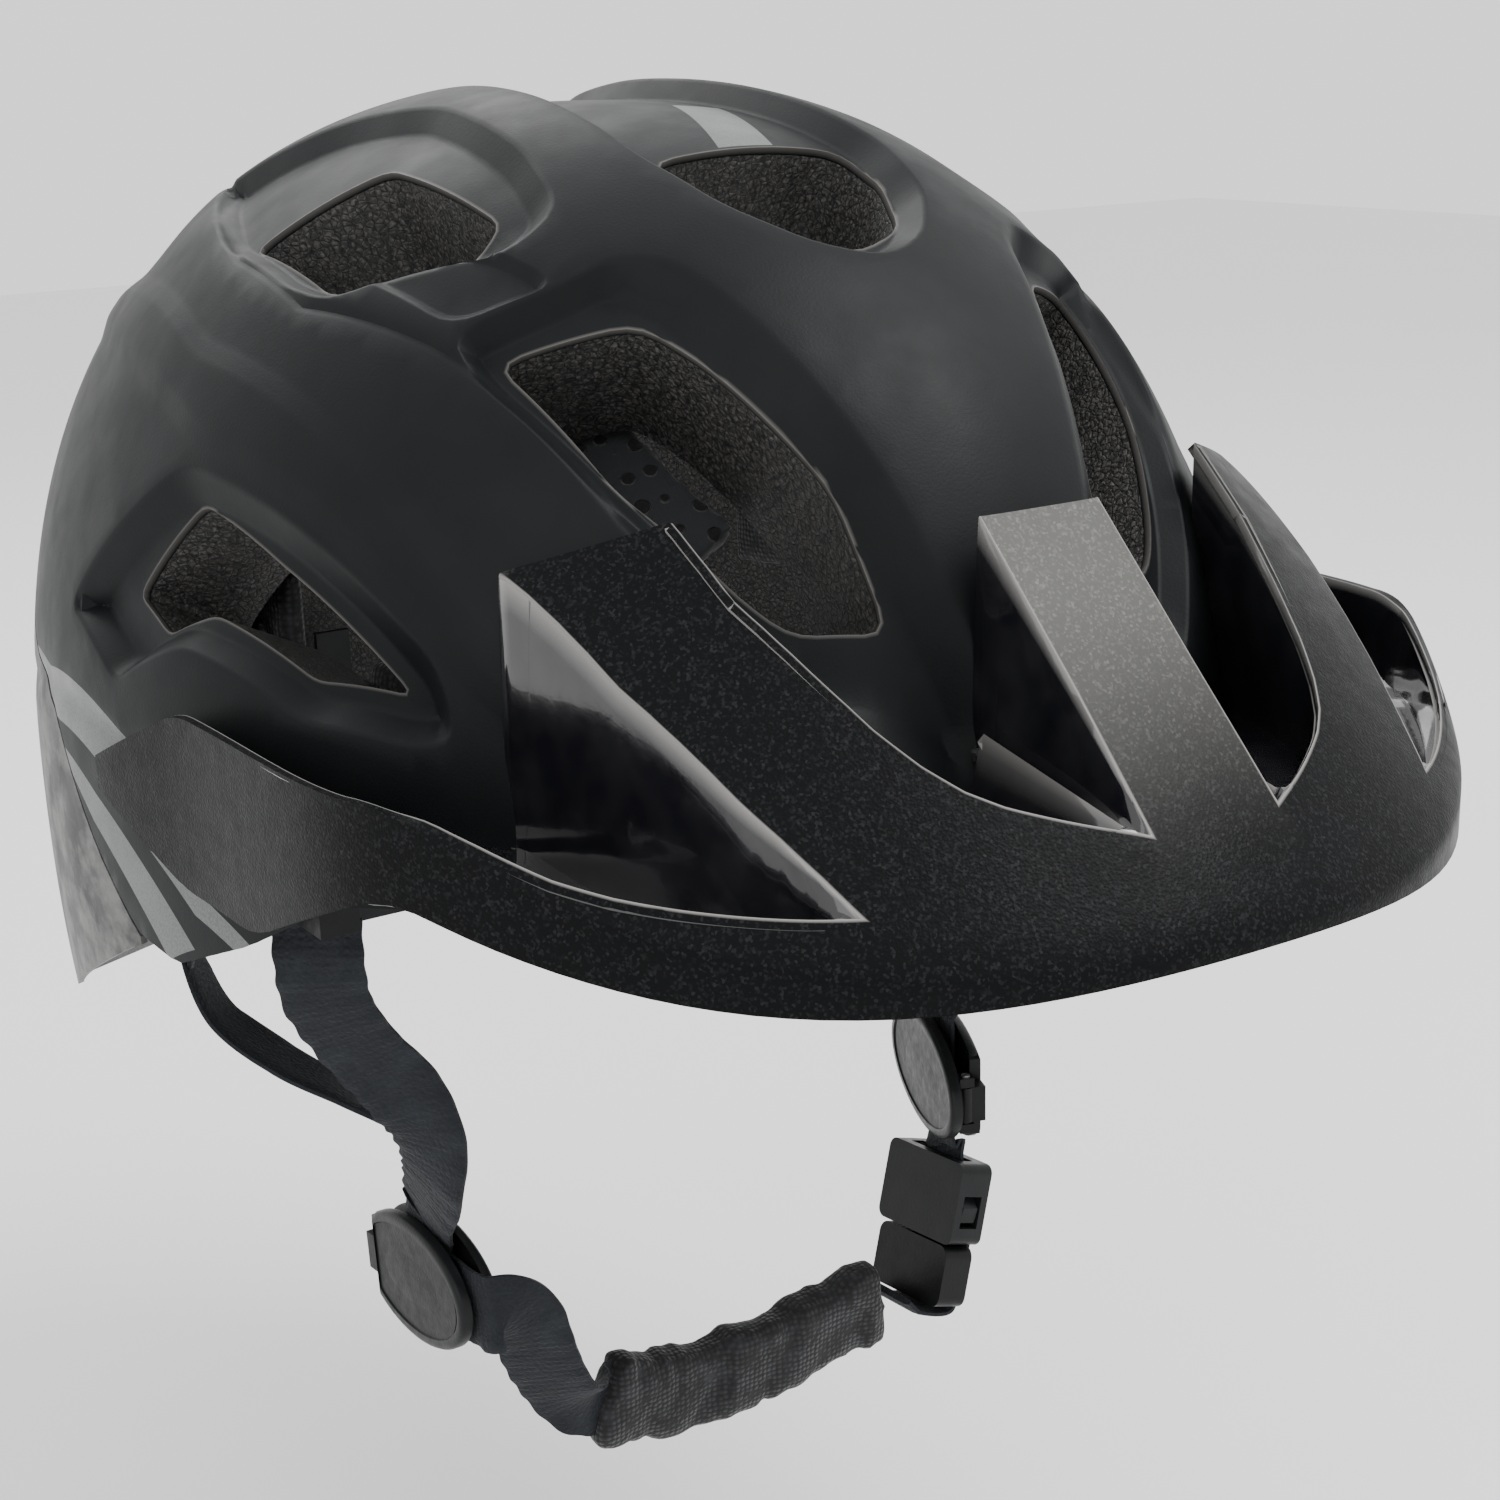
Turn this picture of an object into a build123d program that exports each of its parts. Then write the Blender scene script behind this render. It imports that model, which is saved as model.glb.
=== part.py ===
"""Cycling helmet with a push-fit peak, a Y-strap harness, a chin buckle and a dial-adjusted cradle.

Frame, in millimetres: +Z up, the front of the helmet towards -Y, the wearer's left towards +X.
The origin is the centre of the head cavity at its widest level, on the symmetry plane.
"""
from build123d import *
from math import cos, hypot, pi, radians, sin, tan
import os

os.makedirs("parts", exist_ok=True)

# ---- driving dimensions -------------------------------------------------------------------
half_width = 104.0          # outside of the helmet, from the centre to each side
front_length = 136.0        # outside, from the centre to the brow
rear_length = 149.0         # outside, from the centre to the back
crown_height = 128.0        # outside, from the centre to the top
roundness = 2.27            # exponent of the dome's profile: 2 is an ellipse, more is squarer
skirt_depth = 170.0         # how deep the profile would close below the widest level
skirt_end = -62.0           # where the modelled skirt stops
skin = 1.2                  # thickness of the polycarbonate skins
skin_gap = 0.1              # glue line between a skin and the foam
foam_sides = 25.0           # foam thickness, with the skin, at the sides
foam_front = 30.0
foam_rear = 33.0
foam_top = 29.0
slit = 0.8                  # gap between the upper skin and the rear lower skin
plate = 2.6                 # moulded plate thickness of the peak
peak_gap = 2.2              # peak's inner edge to the skin
peg_radius = 3.0            # push-fit pegs of the peak
peg_play = 0.3
webbing_width = 15.0
webbing_thickness = 1.4
divider_length = 44.0
divider_height = 24.0
divider_plate = 2.4
divider_slot = 3.4          # room for two layers of webbing
pin_radius = 0.9
pin_play = 0.05
buckle_width = 24.0
buckle_thickness = 8.0
squeeze_gap = 0.5           # between a prong's root and the buckle's male base
pad_thickness = 4.6
cradle_half_width = 69.0    # outside of the bands and the cradle, at the temples
cradle_rear = 104.0         # outside of the cradle, at the back
dial_height = -53.0         # centre of the dial
rack_module = 1.0
pinion_teeth = 12
pinion_radius = rack_module * pinion_teeth / 2


# ---- shape of the dome ----------------------------------------------------------------------
def girth(z, height=crown_height):
    """Scale of the dome's horizontal section at a level, 1 at the widest level."""
    reach = height if z > 0 else skirt_depth
    return max(1 - (abs(z) / reach) ** roundness, 0) ** (1 / roundness)


def dome_reach(u, v):
    """Point of the outside, u degrees to the left and v degrees back from the top."""
    tilt = radians(hypot(u, v))
    across = sin(tilt) * u / hypot(u, v)
    along = sin(tilt) * v / hypot(u, v)
    up = cos(tilt)
    length = front_length if along < 0 else rear_length
    flat = hypot(across / half_width, along / length)
    reach = crown_height if up > 0 else skirt_depth
    size = (flat**roundness + (abs(up) / reach) ** roundness) ** (-1 / roundness)
    return Vector(across * size, along * size, up * size)


def wall_radius(angle, z):
    """Distance of the outside from the Z axis, at an angle from the front towards the left."""
    length = front_length if cos(radians(angle)) > 0 else rear_length
    return girth(z) / hypot(sin(radians(angle)) / half_width, cos(radians(angle)) / length)


def polar(angle, radius, z):
    """Point at an angle from the front towards the left."""
    return Vector(radius * sin(radians(angle)), -radius * cos(radians(angle)), z)


def dome(side, front, rear, top):
    """Closed dome: a profile turned half round, stretched to the front and to the rear."""
    steps = [radians(90) * i / 12 for i in range(13)]
    crown = [(side * sin(t) ** (2 / roundness), top * cos(t) ** (2 / roundness)) for t in steps]
    skirt = [(side * girth(z), z) for z in (-20, -40, skirt_end)]
    with BuildPart() as turned:
        with BuildSketch(Plane.XZ):
            with BuildLine():
                Spline(*crown, *skirt, tangents=[(1, 0), (-0.2, -1)])
                Polyline(skirt[-1], (0, skirt_end), (0, top))
            make_face()
        revolve(axis=Axis.Z, revolution_arc=180)
    half = turned.part
    if half.center().Y > 0:
        half = half.mirror(Plane.XZ)
    front_half = scale(half, by=(1, front / side, 1), mode=Mode.PRIVATE)
    rear_half = scale(half.mirror(Plane.XZ), by=(1, rear / side, 1), mode=Mode.PRIVATE)
    return front_half, rear_half


def side_region(*outline):
    """Slab across the whole width, drawn on the YZ plane."""
    with BuildPart() as slab:
        with BuildSketch(Plane.YZ):
            Polygon(*outline, align=None)
        extrude(amount=half_width + 20, both=True)
    return slab.part


outside = dome(half_width, front_length, rear_length, crown_height)
under_skin = dome(half_width - skin, front_length - skin, rear_length - skin, crown_height - skin)
foam_inset = skin + skin_gap
foam_outside = dome(
    half_width - foam_inset, front_length - foam_inset, rear_length - foam_inset, crown_height - foam_inset
)
cavity = dome(
    half_width - foam_sides, front_length - foam_front, rear_length - foam_rear, crown_height - foam_top
)

# lower edge of the upper skin, front to rear, as (y, z)
skin_edge = [
    (-150, 18), (-69, 7), (-49, -4), (-28, -12.5), (-14, -10.5), (2, 1), (25, 21), (54, 30), (150, 37),
]
# lower edge of the rear lower skin, rear to front
tail_edge = [(150, -38), (80, -43), (50, -43), (-14, -12.8)]
above_skin_edge = side_region(*skin_edge, (150, 140), (-150, 140))
below_skin_edge = side_region(*[(y + slit / 2, z - slit) for y, z in skin_edge[4:]], *tail_edge)
foam_region = side_region(
    (-150, 19), (-69, 8), (-49, -3), (-28, -11.5), (-14, -11.5), (50, -41.5), (80, -41.5),
    (150, -36.5), (150, 140), (-150, 140),
)

# ---- vents: outlines in degrees left of and behind the top ---------------------------------
front_vent = [
    (29, -35), (19, -39.5), (16.5, -45), (12.5, -57), (12, -67), (19.5, -64.5), (22, -61), (27, -49.5),
]
crown_vent = [(33, 1), (22, -6), (21.5, -24), (25.5, -26), (34, -16)]
side_vent = [(64, -4), (53.5, -13.5), (52.5, -28.5), (50, -48.5), (57, -38.5), (60.5, -21.5), (65.5, -13)]
rear_side_vent = [(20, 30), (31, 27), (36, 44), (32, 60), (20, 57)]
rear_low_vent = [(17, 72), (36, 70), (34, 81), (18, 83)]
top_vent = [(-6, -24.5), (6, -24.5), (7, -31), (4.5, -39), (-4.5, -39), (-7, -31)]
rear_vent = [(-8, 24), (8, 24), (10, 46), (-10, 46)]
vents = [top_vent, rear_vent]
for outline in (front_vent, crown_vent, side_vent, rear_side_vent, rear_low_vent):
    vents += [outline, [(-u, v) for u, v in outline]]


def vent_cutter(outline):
    """Prism along the dome's radius through the middle of an outline."""
    rim = [dome_reach(u, v) for u, v in outline]
    middle = sum(rim, Vector(0, 0, 0)) / len(rim)
    face = Plane(origin=middle, x_dir=Vector(-middle.Y, middle.X, 0), z_dir=middle.normalized())
    corners = [face.to_local_coords(point) for point in rim]
    with BuildPart() as cutter:
        with BuildSketch(face):
            Polygon(*[(point.X, point.Y) for point in corners], align=None)
        extrude(amount=58, both=True)
    return cutter.part


vent_cutters = [vent_cutter(outline) for outline in vents]

# ---- pegs of the peak, as (x, first y, last y, z) ------------------------------------------
pegs = []
for hand in (-1, 1):
    pegs += [(hand * 30, -131.5, -110, 28.7), (hand * 78, -100, -72, 21.5)]


def along_y(x, first, last, z, radius, inner=0.0, floor=0.0):
    """Round bar along Y; with an inner radius it is a cup, closed by a floor at its last end."""
    with BuildPart() as bar:
        with BuildSketch(Plane(origin=(x, first, z), x_dir=(1, 0, 0), z_dir=(0, 1, 0))):
            Circle(radius)
        extrude(amount=last - first)
        if inner:
            with BuildSketch(Plane(origin=(x, first, z), x_dir=(1, 0, 0), z_dir=(0, 1, 0))):
                Circle(inner)
            extrude(amount=last - first - floor, mode=Mode.SUBTRACT)
    return bar.part


socket_radius = peg_radius + peg_play + 1.5
socket_holes = [along_y(x, first - 6, last + 3, z, socket_radius + 0.1) for x, first, last, z in pegs]

# ---- strap anchors, sunk in the foam's lower edge, as (x, y, lowest z) ---------------------
anchors = []
for hand in (-1, 1):
    anchors += [(hand * 84, -46, -3.0), (hand * 89, 0, -19.0)]
anchor_length = 20.0
anchor_width = 7.0
anchor_height = 16.0


def block(x, y, z, size_x, size_y, size_z):
    """Box standing on its lowest level z."""
    with BuildPart() as body:
        with BuildSketch(Plane(origin=(x, y, z))):
            Rectangle(size_x, size_y)
        extrude(amount=size_z)
    return body.part


anchor_pockets = [
    block(x, y, z - 20, anchor_width + 0.2, anchor_length + 0.2, anchor_height + 20.1) for x, y, z in anchors
]
strap_mouths = [block(x, y, z - 30, 16, 22, 30 - 0.2) for x, y, z in anchors]

# ---- skins and foam ---------------------------------------------------------------------------
with BuildPart() as outer_shell:
    add(outside)
    add(under_skin, mode=Mode.SUBTRACT)
    add(above_skin_edge, mode=Mode.INTERSECT)
    for cutter in vent_cutters + socket_holes:
        add(cutter, mode=Mode.SUBTRACT)
outer_shell.part.label = "outer_shell"
export_step(outer_shell.part, "parts/outer_shell.step")

with BuildPart() as rear_lower_shell:
    add(outside)
    add(under_skin, mode=Mode.SUBTRACT)
    add(below_skin_edge, mode=Mode.INTERSECT)
    for cutter in vent_cutters:
        add(cutter, mode=Mode.SUBTRACT)
rear_lower_shell.part.label = "rear_lower_shell"
export_step(rear_lower_shell.part, "parts/rear_lower_shell.step")

with BuildPart() as foam_liner:
    add(foam_outside)
    add(cavity, mode=Mode.SUBTRACT)
    add(foam_region, mode=Mode.INTERSECT)
    for cutter in vent_cutters + socket_holes + anchor_pockets + strap_mouths:
        add(cutter, mode=Mode.SUBTRACT)
foam_liner.part.label = "foam_liner"
export_step(foam_liner.part, "parts/foam_liner.step")

with BuildPart() as strap_anchors:
    for x, y, z in anchors:
        add(block(x, y, z, anchor_width, anchor_length, anchor_height))
strap_anchors.part.label = "strap_anchors"
export_step(strap_anchors.part, "parts/strap_anchors.step")

with BuildPart() as visor_sockets:
    for x, first, last, z in pegs:
        add(along_y(x, last - 8, last + 2.6, z, socket_radius, peg_radius + peg_play, 2.0))
visor_sockets.part.label = "visor_sockets"
export_step(visor_sockets.part, "parts/visor_sockets.step")

# ---- peak ---------------------------------------------------------------------------------------
arm_side = 103.5            # half the width of the peak between its arms
arm_proud = 3.4             # outside of an arm above the skin
arm_gap = 0.9               # inside of an arm to the skin
corner_angle = 42.3         # where the brim turns into a side wall
side_crease = 35.4          # level of the crease along the top of a side wall


def brim(angle):
    """Outside radius and level of the brim's lower edge at an angle from the front."""
    turn = tan(radians(min(abs(angle), corner_angle)))
    x = 0.0
    for _ in range(40):
        t = (x / 100) ** 2
        x = (x + turn * (179.5 - 48.9 * t - 20.7 * t * t)) / 2
    t = (x / 100) ** 2
    radius = x / sin(radians(abs(angle))) if x else 179.5
    level = 13.6 - 16.8 * t + 25.8 * t * t
    if abs(angle) > corner_angle:
        radius = arm_side / sin(radians(abs(angle)))
        level = max(22.6 - (abs(angle) - corner_angle) * 0.66, 6.5) + max(abs(angle) - 70, 0) * 0.65
    return radius, level


def below(path, thickness):
    """Points that follow a path of (radius, z) at a thickness under it; the path's ends are left out."""
    followed = []
    for before, here, after in zip(path, path[1:], path[2:]):
        normals = []
        for start, end in ((before, here), (here, after)):
            length = hypot(end[0] - start[0], end[1] - start[1])
            normals.append(((end[1] - start[1]) / length, (start[0] - end[0]) / length))
        across = normals[0][0] + normals[1][0]
        down = normals[0][1] + normals[1][1]
        stretch = 2 * thickness / (across**2 + down**2)
        followed.append((here[0] - across * stretch, here[1] - down * stretch))
    return followed


def peak_section(angle):
    """Closed outline of the peak on the half plane at an angle, as (radius, z)."""
    size = abs(angle)
    radius, low = brim(angle)
    fin = size < 5 or 24 < size < 37
    arm = size > 60
    high = low + 4.0 + max(size - 15, 0) * 0.36
    if size > corner_angle:
        high = side_crease - max(size - 67, 0) * 0.82
    outer = max(radius, wall_radius(angle, low) + arm_proud)
    if arm:
        tall = high - low
        levels = [high, high - tall / 5, high - tall * 2 / 5, low + tall * 2 / 5, low + tall / 5, low]
        face = [(outer, low), (outer + 0.3, (low + high) / 2), (outer, high - 1), (outer - 1, high)]
        return face + [(wall_radius(angle, z) + arm_gap, z) for z in levels]
    rise = 66.0 if fin else 30.0 - max(size - 22, 0) * 0.2
    inner = wall_radius(angle, rise) + peak_gap
    reach = outer - inner
    if fin:
        crest = (outer - reach * 0.35, high + (rise - high) * 0.35 + 0.8)
        dip = (outer - reach * 0.7, high + (rise - high) * 0.7 + 0.8)
    else:
        crest = (outer - reach * 0.35, high + min(reach * 0.16, 6.0))
        dip = (outer - reach * 0.72, max(min(rise, high) - 4.0, high - reach * 0.7))
    face = [(outer, low), (outer, high), crest, dip, (inner, rise)]
    under = below(face, plate)
    heel = (wall_radius(angle, rise - plate) + peak_gap, rise - plate)
    return face + [heel] + under[::-1] + [(outer - plate, low)]


peak_angles = [
    -84, -79, -74, -69, -63, -57, -51, -45, -39.5, -36.5, -30.5, -24.5, -21.5, -16, -11, -6.2, -4.8,
]
peak_angles += [0] + [-angle for angle in reversed(peak_angles)]
with BuildPart() as visor:
    for angle in peak_angles:
        half_plane = Plane(origin=(0, 0, 0), x_dir=polar(angle, 1, 0), z_dir=polar(angle - 90, 1, 0))
        with BuildSketch(half_plane):
            Polygon(*peak_section(angle), align=None)
    loft(ruled=True)
    for x, first, last, z in pegs:
        add(along_y(x, first, last, z, peg_radius))
visor.part.label = "visor"
export_step(visor.part, "parts/visor.step")

# ---- comfort pads, held on the foam by hook dots ------------------------------------------------
dot_thickness = 1.0
pad_gap = dot_thickness + 0.8


def cavity_radius(angle, z):
    """Distance of the foam's inner wall from the Z axis at an angle from the front."""
    length = front_length - foam_front if cos(radians(angle)) > 0 else rear_length - foam_rear
    flat = hypot(sin(radians(angle)) / (half_width - foam_sides), cos(radians(angle)) / length)
    return girth(z, crown_height - foam_top) / flat


def cavity_reach(u, v, lift):
    """Point inside the cavity, a lift away from its wall, in degrees left of and behind the top."""
    tilt = radians(hypot(u, v))
    across = sin(tilt) * u / hypot(u, v)
    along = sin(tilt) * v / hypot(u, v)
    length = front_length - foam_front if along < 0 else rear_length - foam_rear
    flat = hypot(across / (half_width - foam_sides), along / length)
    size = (flat**roundness + (cos(tilt) / (crown_height - foam_top)) ** roundness) ** (-1 / roundness)
    return Vector(across, along, cos(tilt)) * (size - lift)


def curved_wall(outer_radii, angles, thickness, low, high):
    """Upright curved wall: its outer radius at each angle from the front, between two levels."""
    outer = [polar(angle, radius, 0) for angle, radius in zip(angles, outer_radii)]
    inner = [polar(angle, radius - thickness, 0) for angle, radius in zip(angles, outer_radii)]
    with BuildPart() as wall:
        with BuildSketch(Plane.XY.offset(low)):
            Polygon(*[(point.X, point.Y) for point in outer + inner[::-1]], align=None)
        extrude(amount=high - low)
    return wall.part


def wall_pad(angles, level, height):
    """Pad along the cavity's wall at a level, from one angle to the next."""
    radii = [cavity_radius(angle, level + height / 2) - pad_gap for angle in angles]
    return curved_wall(radii, angles, pad_thickness, level - height / 2, level + height / 2)


def crown_strip(route, width, thickness=pad_thickness, gap=pad_gap):
    """Pad along the cavity's ceiling, through points in degrees from the top."""
    spots = [cavity_reach(u, v, gap + thickness / 2) for u, v in route]
    with BuildPart() as pad:
        for index, spot in enumerate(spots):
            ahead = spots[min(index + 1, len(spots) - 1)] - spots[max(index - 1, 0)]
            with BuildSketch(Plane(origin=spot, x_dir=ahead.cross(spot), z_dir=ahead)):
                Rectangle(width, thickness)
        loft(ruled=True)
    return pad.part


def spread(first, last, count):
    """Evenly spaced values from first to last."""
    return [first + (last - first) * index / (count - 1) for index in range(count)]


with BuildPart() as brow_pad:
    add(wall_pad(spread(-62, 62, 11), 27, 20))
brow_pad.part.label = "brow_pad"
export_step(brow_pad.part, "parts/brow_pad.step")

for hand, name in ((-1, "finger_pad_right"), (1, "finger_pad_left")):
    with BuildPart() as finger_pad:
        route = [(hand * 23, -30), (hand * 23, -38), (hand * 22, -46), (hand * 19, -54)]
        add(crown_strip(route, 17, gap=2.6))
    finger_pad.part.label = name
    export_step(finger_pad.part, f"parts/{name}.step")

for hand, name in ((-1, "side_pad_right"), (1, "side_pad_left")):
    with BuildPart() as side_pad:
        add(wall_pad([hand * angle for angle in spread(82, 128, 6)], 34, 26))
    side_pad.part.label = name
    export_step(side_pad.part, f"parts/{name}.step")

with BuildPart() as crown_pad:
    add(crown_strip([(0.01, v) for v in (-22, -15, -8, 8, 14, 20)], 26))
crown_pad.part.label = "crown_pad"
export_step(crown_pad.part, "parts/crown_pad.step")

with BuildPart() as hook_dots:
    for angle in (-12, 12, -100, -88, 88, 100):
        level = 27 if abs(angle) < 60 else 34
        radius = cavity_radius(angle, level + 8) - 0.3
        dot_face = Plane(origin=polar(angle, radius, level), x_dir=(0, 0, 1), z_dir=polar(angle, -1, 0))
        with BuildSketch(dot_face):
            Circle(4)
        extrude(amount=dot_thickness)
hook_dots.part.label = "hook_dots"
export_step(hook_dots.part, "parts/hook_dots.step")


# ---- harness ------------------------------------------------------------------------------------
def ribbon(route, width=webbing_width, thickness=webbing_thickness):
    """Flat webbing through a route of (centre, direction of its width)."""
    centres = [Vector(*centre) for centre, across in route]
    with BuildPart() as band:
        for index, (centre, across) in enumerate(route):
            ahead = centres[min(index + 1, len(centres) - 1)] - centres[max(index - 1, 0)]
            with BuildSketch(Plane(origin=centre, x_dir=across, z_dir=ahead)):
                Rectangle(width, thickness)
        loft(ruled=True)
    return band.part


right_divider_face = Plane(origin=(-57, -21, -88), x_dir=(0, -0.996, 0.09), z_dir=(-1, 0, 0))
left_divider_face = Plane(origin=(55.5, -32, -72), x_dir=(0.35, 0.937, 0), z_dir=(0.937, -0.35, 0))
buckle_face = Plane(origin=(50.9, -34.5, -104.6), x_dir=(-0.028, 0.996, -0.09), z_dir=(0.954, 0, -0.3))
layer = (webbing_thickness + 0.2) / 2     # centre of each of the two layers of webbing in a divider


def spot(face, x, y, z):
    """Point given on a face's own axes, as a plain tuple."""
    return tuple(face.from_local_coords(Vector(x, y, z)))


facing = (0.84, -0.54, 0)       # width of the front straps where they hang free
edge_on = (0.45, 0.89, 0)       # width of the rear straps where they leave the foam
lengthwise = (0, -1, 0)
with BuildPart() as strap_front_right:
    add(ribbon([
        ((-84, -46, -3.3), facing), ((-84, -46, -12), facing), ((-82, -44, -20), facing),
        ((-76, -42, -30), facing), ((-69.5, -42, -39), facing), ((-65, -42, -49), (0.6, -0.8, 0)),
        ((-63, -38, -60), (0.2, -0.98, 0)), ((-60.4, -30, -68.5), lengthwise),
        ((-58.2, -25, -74.5), lengthwise), (spot(right_divider_face, 2, 10, layer), lengthwise),
        (spot(right_divider_face, 2, -8, layer), lengthwise),
    ]))
strap_front_right.part.label = "strap_front_right"
export_step(strap_front_right.part, "parts/strap_front_right.step")

with BuildPart() as strap_rear_right:
    add(ribbon([
        ((-89, 0, -20.2), edge_on), ((-89, 0, -24), edge_on), ((-87.5, -8, -32), edge_on),
        ((-81, -17, -39), edge_on), ((-73, -23, -45), (0.3, 0.95, 0)), ((-65, -25.5, -52), (0.1, 0.99, 0)),
        ((-58, -24, -61), (0, 1, 0)), ((-56.2, -23, -69), (0, 1, 0)),
        (spot(right_divider_face, 2, 10, -layer), (0, 1, 0)),
        (spot(right_divider_face, 2, -8, -layer), (0, 1, 0)),
    ]))
strap_rear_right.part.label = "strap_rear_right"
export_step(strap_rear_right.part, "parts/strap_rear_right.step")

with BuildPart() as chin_strap:
    add(ribbon([
        (spot(right_divider_face, 11, 0, 0), (0, 0.09, 1)),
        (spot(right_divider_face, 23, 0, 0), (0, 0.09, 1)),
        ((-54, -46.5, -85.5), (0.2, -0.1, 0.97)), ((-50.5, -46, -88.5), (0.5, -0.45, 0.74)),
        ((-47, -43.5, -96), (0.66, -0.66, 0.3)), ((-43.5, -41, -104), (0.75, -0.65, 0.1)),
        ((-39, -38.5, -111.5), (0.55, -0.7, 0.4)), ((-34, -36, -116), (0.2, -0.5, 0.85)),
        ((-29, -33.2, -118.6), (0, -0.1, 1)),
    ]))
chin_strap.part.label = "chin_strap"
export_step(chin_strap.part, "parts/chin_strap.step")

with BuildPart() as chin_pad:
    add(ribbon([
        ((-28, -32.8, -119), (0, -0.1, 1)), ((-18, -31, -123), (0, -0.1, 1)), ((-7, -30, -125), (0, -0.1, 1)),
        ((8, -32, -123.5), (0, -0.1, 1)), ((24, -33, -121), (0, -0.1, 1)), ((38, -34.5, -118), (0, -0.1, 1)),
    ], 19, 7))
chin_pad.part.label = "chin_pad"
export_step(chin_pad.part, "parts/chin_pad.step")

with BuildPart() as strap_front_left:
    add(ribbon([
        ((84, -46, -3.3), (-0.6, 0.8, 0)), ((84, -46, -14), (-0.6, 0.8, 0)), ((80, -44, -28), (-0.4, 0.9, 0)),
        ((72, -40, -40), (-0.1, 0.99, 0)), ((62.5, -35.5, -51), (0.25, 0.96, 0)),
        (spot(left_divider_face, 0, 14.5, layer + 0.4), (0.35, 0.937, 0)),
        (spot(left_divider_face, 0, 10, layer), (0.35, 0.937, 0)),
        (spot(left_divider_face, 0, -13.5, layer), (0.35, 0.937, 0)),
        (spot(buckle_face, 0, 15.4, 0), (0.1, 0.99, -0.05)),
        (spot(buckle_face, 0, 11.6, 0), (-0.028, 0.996, -0.09)),
    ]))
strap_front_left.part.label = "strap_front_left"
export_step(strap_front_left.part, "parts/strap_front_left.step")

with BuildPart() as strap_rear_left:
    add(ribbon([
        ((89, 0, -20.2), edge_on), ((89, 0, -30), edge_on), ((87, 6, -46), (0.4, 0.6, 0.4)),
        ((81, 8, -60), (0.3, 0.3, 0.7)), ((73, 4, -70), (0, 0.1, 0.99)),
        (spot(left_divider_face, 27, -1, -layer), (0, 0, 1)),
        (spot(left_divider_face, 22, 0, -layer), (0, 0, 1)),
        (spot(left_divider_face, -6, 0, -layer), (0, 0, 1)),
    ]))
strap_rear_left.part.label = "strap_rear_left"
export_step(strap_rear_left.part, "parts/strap_rear_left.step")

with BuildPart() as strap_tail:
    add(ribbon([
        (spot(buckle_face, 0, -15, -7.8), (0, 1, -0.09)), (spot(buckle_face, 0, -17.2, -4), (0, 1, -0.09)),
        (spot(buckle_face, 0, -17.4, 3), (0, 1, -0.09)), (spot(buckle_face, 0, -14.5, 4.9), (0, 1, -0.09)),
        (spot(buckle_face, 0, -6, 5.2), (0, 1, -0.09)), (spot(buckle_face, 0, 4, 5.8), (0, 1, -0.09)),
    ]))
strap_tail.part.label = "strap_tail"
export_step(strap_tail.part, "parts/strap_tail.step")


# ---- cam dividers: an oval body and a hinged clamp that grip the webbing -------------------------
hinge_reach = 18.0              # pin's distance from the divider's centre
barrel_radius = pin_radius + 0.75
ear_width = 2.0
ear_centre = 5.2


def divider_body(face, pin_x):
    """Oval plate with two ears for the pin."""
    with BuildPart() as body:
        with BuildSketch(face.offset(-divider_slot / 2 - divider_plate)):
            Ellipse(divider_length / 2, divider_height / 2)
        extrude(amount=divider_plate)
        with BuildSketch(face.offset(-divider_slot / 2)):
            with Locations((pin_x, ear_centre), (pin_x, -ear_centre)):
                Rectangle(2 * barrel_radius, ear_width)
        extrude(amount=divider_slot / 2 + barrel_radius - 0.1)
        with BuildSketch(Plane(origin=spot(face, pin_x, -10, 0), x_dir=face.x_dir, z_dir=face.y_dir)):
            Circle(pin_radius)
        extrude(amount=20, mode=Mode.SUBTRACT)
    return body.part


def divider_clamp(face, pin_x):
    """Oval cover with a barrel round the pin; it lifts to free the webbing."""
    open_side = 1 if pin_x < 0 else -1
    inner_x = pin_x + open_side * (barrel_radius + 1.0)
    with BuildPart() as clamp:
        with BuildSketch(face.offset(divider_slot / 2 + 0.1)):
            Ellipse(divider_length / 2, divider_height / 2)
            with Locations((inner_x - open_side * 10, 0)):
                Rectangle(20, divider_height + 2, mode=Mode.SUBTRACT)
        extrude(amount=divider_plate)
        barrel = 2 * (ear_centre - ear_width / 2 - 0.3)
        with BuildSketch(face.offset(barrel_radius / 2)):
            with Locations((pin_x + open_side * 1.4, 0)):
                Rectangle(5.2, barrel)
        extrude(amount=divider_slot / 2 + 0.1 + divider_plate - barrel_radius / 2)
        barrel_face = Plane(
            origin=spot(face, pin_x, -barrel / 2, 0), x_dir=face.x_dir, z_dir=face.y_dir
        )
        with BuildSketch(barrel_face):
            Circle(barrel_radius)
        extrude(amount=barrel)
        with BuildSketch(barrel_face):
            Circle(pin_radius + pin_play)
        extrude(amount=barrel, mode=Mode.SUBTRACT)
    return clamp.part


dividers = (("right", right_divider_face, -hinge_reach), ("left", left_divider_face, -hinge_reach))
for hand, face, pin_x in dividers:
    with BuildPart() as divider:
        add(divider_body(face, pin_x))
    divider.part.label = f"divider_{hand}"
    export_step(divider.part, f"parts/divider_{hand}.step")
    with BuildPart() as clamp:
        add(divider_clamp(face, pin_x))
    clamp.part.label = f"divider_clamp_{hand}"
    export_step(clamp.part, f"parts/divider_clamp_{hand}.step")

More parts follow.
